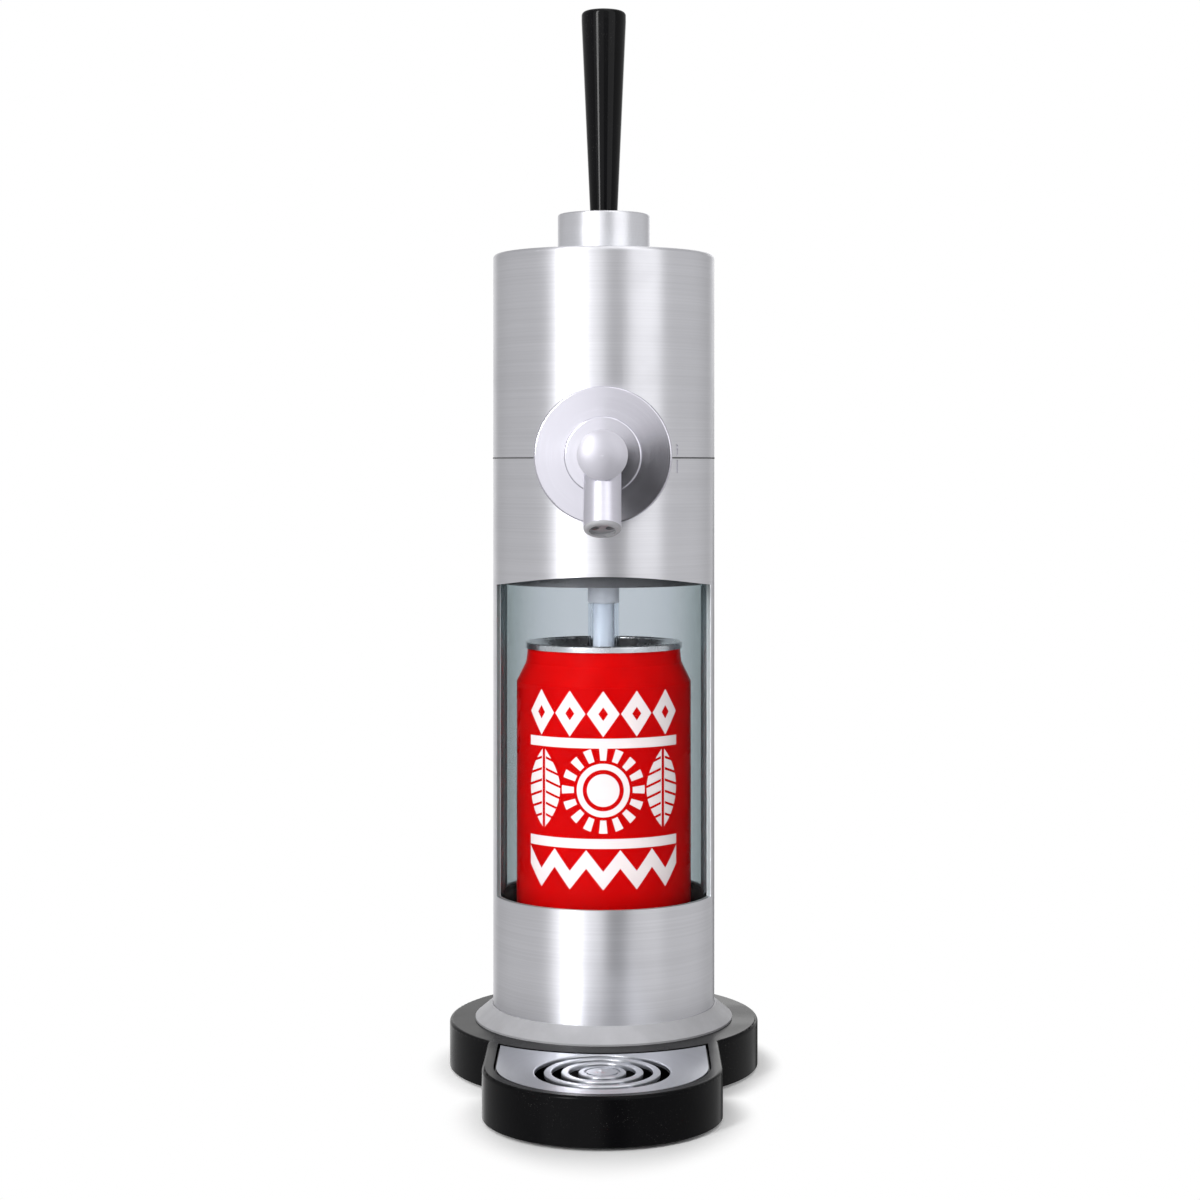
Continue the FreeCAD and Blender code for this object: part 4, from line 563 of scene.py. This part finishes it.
def superellipse(half_x, half_y, square, u):
    """x = half_x * sign(cos u) * |cos u| ** (2 / square), and y likewise with sin u."""
    return (half_x * np.sign(np.cos(u)) * np.abs(np.cos(u)) ** (2 / square),
            half_y * np.sign(np.sin(u)) * np.abs(np.sin(u)) ** (2 / square))


def mesh_from_grid(name, points, close_u=False):
    """A mesh from a grid of points with shape (rows, columns, 3), closed along its columns."""
    rows, columns = points.shape[:2]
    index = np.arange(rows * columns).reshape(rows, columns)
    if close_u:
        index = np.vstack([index, index[:1]])
    index = np.hstack([index, index[:, :1]])
    faces = np.stack([index[:-1, :-1], index[1:, :-1], index[1:, 1:], index[:-1, 1:]], axis=-1)
    mesh = bpy.data.meshes.new(name)
    mesh.from_pydata(points.reshape(-1, 3).tolist(), [], faces.reshape(-1, 4).tolist())
    mesh.shade_smooth()
    return mesh


def merged(name, meshes):
    """One object from several meshes, with doubles merged and faces turned outwards."""
    work = bmesh.new()
    for mesh in meshes:
        work.from_mesh(mesh)
        bpy.data.meshes.remove(mesh)
    bmesh.ops.remove_doubles(work, verts=work.verts, dist=0.000002)
    bmesh.ops.recalc_face_normals(work, faces=work.faces)
    mesh = bpy.data.meshes.new(name)
    work.to_mesh(mesh)
    work.free()
    mesh.shade_smooth()
    item = bpy.data.objects.new(name, mesh)
    bpy.context.scene.collection.objects.link(item)
    return item


def loop_bead(name, centre, half_x, half_y, square, wide, tall, base_z):
    """A bead carried along a closed superellipse.

    Bead: an ellipse, wide / 2 across the loop's outward direction and tall / 2 upwards, sitting on base_z.
    """
    line = np.stack(superellipse(half_x, half_y, square, full_turn(LOOP_STEPS)), axis=1)
    along = np.roll(line, -1, axis=0) - np.roll(line, 1, axis=0)
    along /= np.linalg.norm(along, axis=1)[:, None]
    out = np.stack([along[:, 1], -along[:, 0]], axis=1)
    v = full_turn(BEAD_STEPS)
    flat = line[:, None, :] + out[:, None, :] * (wide / 2 * np.cos(v))[None, :, None]
    high = np.broadcast_to(base_z + tall / 2 + tall / 2 * np.sin(v), (LOOP_STEPS, BEAD_STEPS))
    points = np.dstack([flat[..., 0] + centre[0], flat[..., 1] + centre[1], high])
    return mesh_from_grid(name, points, close_u=True)


def turned_button(name, centre, radii, heights):
    """A small turned button: the profile (radius, height) carried round the Z axis through centre."""
    u = full_turn(BUTTON_STEPS)
    radii = np.asarray(radii)
    heights = np.asarray(heights)
    points = np.stack([centre[0] + radii[:, None] * np.cos(u), centre[1] + radii[:, None] * np.sin(u),
                       np.broadcast_to(heights[:, None], (len(radii), BUTTON_STEPS))], axis=2)
    return mesh_from_grid(name, points)


def web_plate(name, centre, half_x, low_y, high_y, low_z, high_z):
    """The tab's web: a superellipse disc that fills the loop from low_y to high_y, slightly crowned.

    Point (s, u): s runs from the middle (0) to the rim (1), u goes round. Height falls with s squared.
    """
    s = np.linspace(0, 1, WEB_RINGS)
    half_y = (high_y - low_y) / 2
    mid_y = (high_y + low_y) / 2
    x, y = superellipse(half_x, half_y, WEB_SQUARE, full_turn(WEB_STEPS))
    top = np.stack([centre[0] + s[:, None] * x, centre[1] + mid_y + s[:, None] * y,
                    np.broadcast_to((high_z - WEB_CROWN * s ** 2)[:, None], (WEB_RINGS, WEB_STEPS))], axis=2)
    bottom = top[::-1].copy()
    bottom[..., 2] = low_z
    return mesh_from_grid(name, np.concatenate([top, bottom]))


# Settings that a user would change

def colour_setting(name, description, default):
    return bpy.props.FloatVectorProperty(name=name, description=description, subtype="COLOR", size=3, min=0,
                                         max=1, default=default)


def lamp_setting(name, description, default):
    return bpy.props.FloatProperty(name=name, description=description, subtype="POWER", min=0, max=500,
                                   default=default)


class SteelSettings(bpy.types.PropertyGroup):
    tower_colour: colour_setting("Tower colour", "Colour of the brushed tower, head and collar",
                                 (0.735, 0.735, 0.775))
    tap_colour: colour_setting("Tap colour", "Colour of the turned tap", (0.745, 0.733, 0.815))
    skirt_colour: colour_setting("Skirt colour", "Colour of the silver-painted skirt ring",
                                 (0.46, 0.46, 0.48))
    grille_colour: colour_setting("Grille colour", "Colour of the drip grille", (0.585, 0.602, 0.647))
    roughness: bpy.props.FloatProperty(
        name="Roughness", description="Roughness of the brushed metal", subtype="FACTOR", min=0.05, max=0.8,
        default=0.38)


class PlasticSettings(bpy.types.PropertyGroup):
    base_colour: colour_setting("Base colour", "Colour of the moulded base", (0.003, 0.003, 0.0035))
    handle_colour: colour_setting("Handle colour", "Colour of the lever handle", (0.002, 0.002, 0.0026))
    window_tint: colour_setting("Window tint", "Tint of the clear window", (0.82, 0.835, 0.86))
    sleeve_colour: colour_setting("Sleeve colour", "Tint of the clear sleeve on the straw",
                                  (0.82, 0.87, 0.93))


class CanSettings(bpy.types.PropertyGroup):
    red: colour_setting("Red", "Lacquer of the can", (0.56, 0.0016, 0.0018))
    cream: colour_setting("Cream", "Colour of the generic print", (0.89, 0.765, 0.735))


class StudioSettings(bpy.types.PropertyGroup):
    room: bpy.props.FloatProperty(
        name="Room light", description="Level of the even light from all sides", min=0, max=3, default=0.49)
    key: lamp_setting("Key lamp", "Power of the large lamp at the front left", 8.8)
    strip: lamp_setting("Strip lamp", "Power of the narrow lamp inside the large one", 12.0)
    side: lamp_setting("Side lamp", "Power of the tall lamp at the front right", 6.0)
    top: lamp_setting("Top lamp", "Power of the lamp above", 3.0)
    distance: bpy.props.FloatProperty(
        name="Camera distance", description="From the tower's axis to the camera", subtype="DISTANCE",
        unit="LENGTH", min=0.3, max=5, default=0.913)
    height: bpy.props.FloatProperty(
        name="Camera height", description="Height of the level camera", subtype="DISTANCE", unit="LENGTH",
        min=0, max=2, default=0.2271)
    lens: bpy.props.FloatProperty(
        name="Lens", description="Focal length on a 36 mm sensor", min=20, max=300, default=72.0)


class DispenserSettings(bpy.types.PropertyGroup):
    steel: bpy.props.PointerProperty(type=SteelSettings)
    plastic: bpy.props.PointerProperty(type=PlasticSettings)
    can: bpy.props.PointerProperty(type=CanSettings)
    studio: bpy.props.PointerProperty(type=StudioSettings)


def settings():
    return bpy.context.scene.dispenser


def colour_of(value):
    return tuple(value) + (1.0,)


# Operators

class DISPENSER_OT_camera(bpy.types.Operator):
    """Level camera in front of the dispenser, with the framing of the photograph"""
    bl_idname = "dispenser.camera"
    bl_label = "Camera"

    def execute(self, context):
        studio = settings().studio
        data = bpy.data.cameras.new("camera")
        data.sensor_width = 36.0
        data.lens = studio.lens
        data.shift_x, data.shift_y = (pixels / PICTURE_PIXELS for pixels in SHIFT_PIXELS)
        data.clip_start = 0.01
        data.clip_end = 100
        item = bpy.data.objects.new("camera", data)
        item.location = (CAMERA_SIDE, -studio.distance, studio.height)
        item.rotation_euler = (math.radians(90), 0.0, 0.0)
        context.scene.collection.objects.link(item)
        context.scene.camera = item
        return {"FINISHED"}


class DISPENSER_OT_stage(bpy.types.Operator):
    """Pale floor, white surroundings and the soft lamps"""
    bl_idname = "dispenser.stage"
    bl_label = "Stage"

    def execute(self, context):
        studio = settings().studio
        context.scene.view_settings.view_transform = "Standard"
        self.world(context, studio.room)
        self.floor(context)
        self.lamp(context, "key_lamp", studio.key, (-27.5, 0.62), (1.36, 3.00))
        self.lamp(context, "strip_lamp", studio.strip, (-34, 0.85), (0.22, 1.20))
        side = self.lamp(context, "side_lamp", studio.side, (43, 1.12), (0.85, 2.00))
        side.visible_diffuse = False
        self.lamp(context, "top_lamp", studio.top, None, (1.1, 1.1))
        return {"FINISHED"}

    def world(self, context, level):
        """White to the camera and in clear plastic, and the even room light for everything else.

        In reflections it is white behind the object and a little brighter at both sides. Right of the
        camera stand a dark card, below the height of the lens, and a pale one above it.
        """
        world = bpy.data.worlds.new("studio")
        world.use_nodes = True
        world.node_tree.nodes.clear()
        bench = Bench(world.node_tree)
        rays = bench.node("ShaderNodeLightPath").outputs
        way = bench.split(bench.node("ShaderNodeTexCoord").outputs["Generated"])
        behind = bench.ramp(way[1], 0.80, 0.96)
        glossy = bench.math("MULTIPLY_ADD", behind, 1.0 - level, level)
        left = bench.ramp(way[0], -0.60, -1.00, 0.0, 0.13)
        right = bench.ramp(way[0], 0.60, 1.00, 0.0, 0.19)
        glossy = bench.math("ADD", glossy, bench.math("ADD", left, right))
        for (start, full), (bottom, top), change in CARDS:
            card = bench.math("MULTIPLY", bench.ramp(way[0], start, full), bench.ramp(way[0], *CARDS_END))
            card = bench.math("MULTIPLY", card, bench.ramp(way[2], bottom, top))
            glossy = bench.math("MULTIPLY", glossy, bench.math("MULTIPLY_ADD", card, change, 1.0))
        plain = bench.math("MULTIPLY_ADD", rays["Is Glossy Ray"], bench.math("SUBTRACT", glossy, level),
                           level)
        seen = bench.math("MAXIMUM", rays["Is Camera Ray"], rays["Is Transmission Ray"])
        strength = bench.math("MULTIPLY_ADD", seen, bench.math("SUBTRACT", 1.0, plain), plain)
        light = bench.node("ShaderNodeBackground", {"Color": WHITE, "Strength": strength})
        output = bench.node("ShaderNodeOutputWorld")
        bench.put(output.inputs["Surface"], light.outputs[0])
        context.scene.world = world

    def floor(self, context):
        """A large disc that keeps the object's shadow and fades to white further away.

        The fade is nearer at the sides than in front. To the camera the floor also glows towards the sides:
        painted light that pales the shadow there. From below the disc is open.
        """
        u = full_turn(64)
        radii = np.array([0.0005, 0.3, 0.8, 2.0, 6.0, 20.0])
        points = np.stack([radii[:, None] * np.cos(u), radii[:, None] * np.sin(u),
                           np.full((len(radii), len(u)), -0.0001)], axis=2)
        mesh = mesh_from_grid("floor", points)
        item = bpy.data.objects.new("floor", mesh)
        context.scene.collection.objects.link(item)
        material, bench = start_material("pale_floor")
        place = bench.own_space()
        x, y, _ = bench.split(place)
        reach = bench.math("MINIMUM", self.reach(bench, x, y, *FOOT_CIRCLE),
                           self.reach(bench, x, y, *APRON_CIRCLE))
        narrow = bench.math("MULTIPLY_ADD", bench.math("MULTIPLY", x, x), 500.0, 1.0)
        rays = bench.node("ShaderNodeLightPath").outputs
        tone = bench.ramp(bench.noise(place, 9.0), 0.3, 0.7, 0.88, 0.90)
        pale = bench.node("ShaderNodeBsdfPrincipled", {
            "Base Color": bench.join(tone, tone, tone), "Roughness": 0.85, "Specular IOR Level": 0.1})
        # Painted light: to the camera only, the floor glows more towards the sides, which pales the object's
        # shadow there.
        side = bench.ramp(bench.math("ABSOLUTE", x), 0.020, 0.055, 0.0, 0.22)
        painted_side_light = bench.node("ShaderNodeEmission", {
            "Color": WHITE, "Strength": bench.math("MULTIPLY", rays["Is Camera Ray"], side)})
        near = bench.node("ShaderNodeAddShader", {0: pale.outputs[0], 1: painted_side_light.outputs[0]})
        white = bench.node("ShaderNodeEmission", {"Color": WHITE, "Strength": 1.0})
        seen = bench.math("MAXIMUM", rays["Is Camera Ray"], rays["Is Transmission Ray"])
        far = bench.math("MULTIPLY", bench.ramp(bench.math("MULTIPLY", reach, narrow), 0.004, 0.036), seen)
        both = bench.node("ShaderNodeMixShader", {0: far, 1: near.outputs[0], 2: white.outputs[0]})
        clear = bench.node("ShaderNodeBsdfTransparent")
        below = bench.node("ShaderNodeNewGeometry").outputs["Backfacing"]
        away = bench.math("MAXIMUM", rays["Is Glossy Ray"], below)
        open_floor = bench.node("ShaderNodeMixShader", {0: away, 1: both.outputs[0], 2: clear.outputs[0]})
        close_material(bench, open_floor.outputs[0])
        mesh.materials.append(material)

    def reach(self, bench, x, y, middle, radius):
        """How far a point of the floor lies outside a circle round (0, middle)."""
        return bench.math("SUBTRACT", bench.length(x, bench.math("SUBTRACT", y, middle)), radius)

    def lamp(self, context, name, power, place, size):
        """A rectangular lamp. Place is (degrees from the front towards +X, height); none is overhead."""
        data = bpy.data.lights.new(name, "AREA")
        data.shape = "RECTANGLE"
        data.size, data.size_y = size
        data.energy = power
        item = bpy.data.objects.new(name, data)
        if place is None:
            item.location = (0.0, -0.15, 1.5)
        else:
            turn = math.radians(place[0])
            item.location = (LAMP_DISTANCE * math.sin(turn), -LAMP_DISTANCE * math.cos(turn), place[1])
            item.rotation_euler = (math.radians(90), 0.0, turn)
        item.visible_camera = False
        context.scene.collection.objects.link(item)
        return item


class DISPENSER_OT_tower(bpy.types.Operator):
    """Brushed tower, head, battery door and skirt"""
    bl_idname = "dispenser.tower"
    bl_label = "Tower and head"

    def execute(self, context):
        steel = settings().steel
        brushed = turned_metal("tower_brushed", colour_of(steel.tower_colour), steel.roughness, 0.06, 0.10,
                               fineness=1500.0, run=9.0, anisotropy=0.75,
                               inner_r=SHELL_INNER_R, outer_r=SHELL_OUTER_R)
        dress(brushed, "tower_shell", "head_shell", "battery_cover")
        paint = satin_metal("skirt_silver_paint", colour_of(steel.skirt_colour), 0.46, metallic=0.35)
        dress(paint, "skirt_ring")
        return {"FINISHED"}


class DISPENSER_OT_window(bpy.types.Operator):
    """Clear window tube and its gasket"""
    bl_idname = "dispenser.window"
    bl_label = "Window"

    def execute(self, context):
        plastic = settings().plastic
        clear = clear_plastic("window_clear", colour_of(plastic.window_tint), 0.012,
                              deep=(0.44, 0.49, 0.50, 1), rear=(0.60, 0.65, 0.69, 1))
        dress(clear, "window_tube")
        rubber = moulded_plastic("gasket_rubber", (0.012, 0.012, 0.012), 0.62, grain=0.3, wear=0.1,
                                 fineness=3000.0)
        dress(rubber, "chamber_gasket")
        return {"FINISHED"}


class DISPENSER_OT_tap(bpy.types.Operator):
    """Turned tap: flange, boss, shank, cap, spout tube and its insert"""
    bl_idname = "dispenser.tap"
    bl_label = "Tap"

    def execute(self, context):
        steel = settings().steel
        colour = colour_of(steel.tap_colour)
        axis = {"centre": (0.0, 0.0, TAP_Z), "turn": (math.radians(90), 0.0, 0.0)}
        dress(turned_metal("flange_turned", shade(colour, 0.89), 0.18, 0.04, 0.05, share=0.96, crown=0.14,
                           **axis), "spout_flange")
        # The cap and shank are the same turned metal as the flange and boss, darkened to 0.68: painted shade.
        dress(turned_metal("tap_turned_painted_shade", shade(colour, 0.68), 0.40, 0.03, 0.05, fineness=3200.0,
                           strength=0.12, share=0.45, **axis), "spout_shank", "spout_cap")
        dress(turned_metal("boss_turned", shade(colour, 0.93), 0.18, 0.04, 0.05, share=0.96, crown=0.13,
                           **axis), "spout_boss")
        tube = turned_metal("spout_turned", shade(colour, 0.97), 0.38, 0.03, 0.05, fineness=2200.0,
                            centre=SPOUT_ROOT, turn=(-SPOUT_TILT, 0.0, 0.0), lip=SPOUT_LIP)
        dress(tube, "spout_tube")
        dress(moulded_plastic("insert_grey", (0.22, 0.22, 0.235), 0.34, grain=0.15, wear=0.4), "spout_insert")
        return {"FINISHED"}


class DISPENSER_OT_lever(bpy.types.Operator):
    """Steel collar, black tilting handle, its hub, pin and spring"""
    bl_idname = "dispenser.lever"
    bl_label = "Lever"

    def execute(self, context):
        choice = settings()
        collar = turned_metal("collar_turned", shade(colour_of(choice.steel.tower_colour), 1.02), 0.38, 0.03,
                              0.05, run=12.0, anisotropy=0.6, strength=0.12)
        dress(collar, "lever_bonnet")
        handle = moulded_plastic("handle_black", colour_of(choice.plastic.handle_colour), 0.08, grain=0.03,
                                 wear=0.05, fineness=2600.0, shine=0.14)
        dress(handle, "lever_handle")
        dress(moulded_plastic("hub_black", (0.012, 0.012, 0.013), 0.42), "lever_hub", "lever_bracket")
        dress(satin_metal("pin_steel", (0.55, 0.55, 0.56, 1), 0.28), "pivot_pin", "lever_stem",
              "centring_spring")
        return {"FINISHED"}


class DISPENSER_OT_base(bpy.types.Operator):
    """Black moulded base with its cover and rubber feet"""
    bl_idname = "dispenser.base"
    bl_label = "Base"

    def execute(self, context):
        colour = colour_of(settings().plastic.base_colour)
        dress(moulded_plastic("base_moulded", colour, 0.19, grain=0.05, wear=0.04, shine=0.06), "base_body")
        dress(moulded_plastic("cover_moulded", shade(colour, 1.6), 0.50, grain=0.35), "base_cover")
        rubber = moulded_plastic("foot_rubber", (0.015, 0.015, 0.015), 0.75, grain=0.5, wear=0.05,
                                 fineness=3200.0)
        dress(rubber, "rubber_feet")
        return {"FINISHED"}


class DISPENSER_OT_tray(bpy.types.Operator):
    """Drip tray and its slotted steel grille"""
    bl_idname = "dispenser.tray"
    bl_label = "Drip tray"

    def execute(self, context):
        dress(moulded_plastic("tray_moulded", (0.010, 0.010, 0.011), 0.40, grain=0.2), "drip_tray")
        plate = turned_metal("grille_turned", colour_of(settings().steel.grille_colour), 0.34, 0.06, 0.08,
                             fineness=2200.0, centre=GRILLE_CENTRE, anisotropy=0.7)
        dress(plate, "drip_grille")
        return {"FINISHED"}


class DISPENSER_OT_can(bpy.types.Operator):
    """Red can with its generic print, lid and pull tab, in its cup"""
    bl_idname = "dispenser.can"
    bl_label = "Can"

    def execute(self, context):
        can = settings().can
        dress(printed_can("can_lacquer", colour_of(can.red), colour_of(can.cream)), "can_body")
        end = satin_metal("can_end_metal", (0.62, 0.625, 0.63, 1), 0.26)
        dress(end, "can_lid")
        dress(moulded_plastic("cup_moulded", (0.05, 0.05, 0.052), 0.5, grain=0.3), "can_cup")
        dress(moulded_plastic("pad_rubber", (0.014, 0.014, 0.014), 0.8, grain=0.5, fineness=3000.0),
              "can_pad")
        self.pull_tab(end)
        return {"FINISHED"}

    def pull_tab(self, metal):
        """A looped ring-pull with a web and a rivet, lying where the CAD tab lies."""
        low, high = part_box("can_tab")
        middle = ((low.x + high.x) / 2, (low.y + high.y) / 2)
        half_x = (high.x - low.x) / 2
        half_y = (high.y - low.y) / 2
        thick = high.z - low.z
        edge = loop_bead("tab_edge", middle, half_x - 0.0009, half_y - 0.0009, 2.5, 0.0018, thick, low.z)
        web = web_plate("tab_web", middle, half_x - 0.0012, -half_y + 0.0012, half_y * 0.15,
                        low.z + thick * 0.3, low.z + thick * 0.62)
        rivet = turned_button("tab_rivet", (middle[0], middle[1] - half_y * 0.42),
                              [0.0, 0.0013, 0.0019, 0.0021, 0.0021, 0.0],
                              [high.z + 0.0001, high.z + 0.00005, high.z - 0.0002, high.z - 0.0004,
                               low.z, low.z])
        tab = merged("pull_tab", [edge, web, rivet])
        tab.data.materials.append(metal)
        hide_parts("can_tab")
        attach(tab, "base")


class DISPENSER_OT_straw(bpy.types.Operator):
    """Dip straw, its clear sleeve and the grey collar above"""
    bl_idname = "dispenser.straw"
    bl_label = "Straw"

    def execute(self, context):
        plastic = settings().plastic
        dress(clear_plastic("sleeve_clear", colour_of(plastic.sleeve_colour), 0.06, ior=1.22), "dip_sleeve")
        dress(milky_plastic("straw_milky", (0.97, 0.98, 1.0, 1), 0.22, 0.20), "dip_tube")
        dress(moulded_plastic("collar_grey", (0.50, 0.52, 0.56), 0.36, grain=0.15), "dip_collar")
        return {"FINISHED"}


class DISPENSER_OT_works(bpy.types.Operator):
    """Everything inside the head: frame, pump, hoses, board, switches, cells and screws"""
    bl_idname = "dispenser.works"
    bl_label = "Inner works"

    def execute(self, context):
        dress(moulded_plastic("frame_grey", (0.08, 0.08, 0.085), 0.45, grain=0.2), "head_chassis")
        dress(moulded_plastic("seal_rubber", (0.013, 0.013, 0.013), 0.55, grain=0.25, fineness=3000.0),
              "chassis_seal")
        dress(moulded_plastic("box_black", (0.02, 0.02, 0.021), 0.5, grain=0.3), "battery_box", "pour_switch",
              "foam_switch", "board_components")
        dress(satin_metal("screw_zinc", (0.50, 0.50, 0.49, 1), 0.32), "cover_screws", "skirt_screws",
              "cup_screws", "chassis_screws", "bracket_screws", "board_screws", "shank_nut", "tie_rods")
        dress(satin_metal("contact_nickel_plate", (0.64, 0.63, 0.58, 1), 0.25), "battery_contacts")
        dress(satin_metal("motor_case", (0.58, 0.58, 0.58, 1), 0.3), "pump_motor")
        dress(moulded_plastic("pump_white", (0.72, 0.72, 0.70), 0.5, grain=0.3), "pump_head", "check_valve")
        dress(milky_plastic("hose_milky", (0.70, 0.72, 0.74, 1), 0.3, 0.25), "air_hose", "beer_hose")
        dress(moulded_plastic("ring_ceramic", (0.72, 0.68, 0.60), 0.6, grain=0.4, fineness=2600.0),
              "ultrasonic_ring")
        dress(moulded_plastic("wire_red", (0.5, 0.02, 0.02), 0.4, grain=0.1), "wiring")
        dress(circuit_face("board_green", (0.012, 0.085, 0.03, 1)), "circuit_board")
        low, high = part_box("batteries")
        dress(cell_wrapper("cell_wrapper", (0.02, 0.02, 0.022), (0.55, 0.30, 0.12), low.z, high.z),
              "batteries")
        return {"FINISHED"}


class DISPENSER_PT_panel(bpy.types.Panel):
    """The dispenser's settings and steps"""
    bl_idname = "DISPENSER_PT_panel"
    bl_label = "Canned beer dispenser"
    bl_space_type = "VIEW_3D"
    bl_region_type = "UI"
    bl_category = "Dispenser"

    def draw(self, context):
        for step in STEPS:
            self.layout.operator(step.bl_idname)
        for group in (context.scene.dispenser.steel, context.scene.dispenser.plastic,
                      context.scene.dispenser.can, context.scene.dispenser.studio):
            box = self.layout.box()
            for name in group.__annotations__:
                box.prop(group, name)


STEPS = (DISPENSER_OT_camera, DISPENSER_OT_stage, DISPENSER_OT_tower, DISPENSER_OT_window, DISPENSER_OT_tap,
         DISPENSER_OT_lever, DISPENSER_OT_base, DISPENSER_OT_tray, DISPENSER_OT_can, DISPENSER_OT_straw,
         DISPENSER_OT_works)
CLASSES = (SteelSettings, PlasticSettings, CanSettings, StudioSettings, DispenserSettings) + STEPS + (
    DISPENSER_PT_panel,)


def register():
    for item in CLASSES:
        bpy.utils.register_class(item)
    bpy.types.Scene.dispenser = bpy.props.PointerProperty(type=DispenserSettings)


def unregister():
    del bpy.types.Scene.dispenser
    for item in reversed(CLASSES):
        bpy.utils.unregister_class(item)


def main():
    register()
    bpy.ops.dispenser.camera()
    bpy.ops.dispenser.stage()
    bpy.ops.dispenser.tower()
    bpy.ops.dispenser.window()
    bpy.ops.dispenser.tap()
    bpy.ops.dispenser.lever()
    bpy.ops.dispenser.base()
    bpy.ops.dispenser.tray()
    bpy.ops.dispenser.can()
    bpy.ops.dispenser.straw()
    bpy.ops.dispenser.works()


if __name__ == "__main__":
    main()
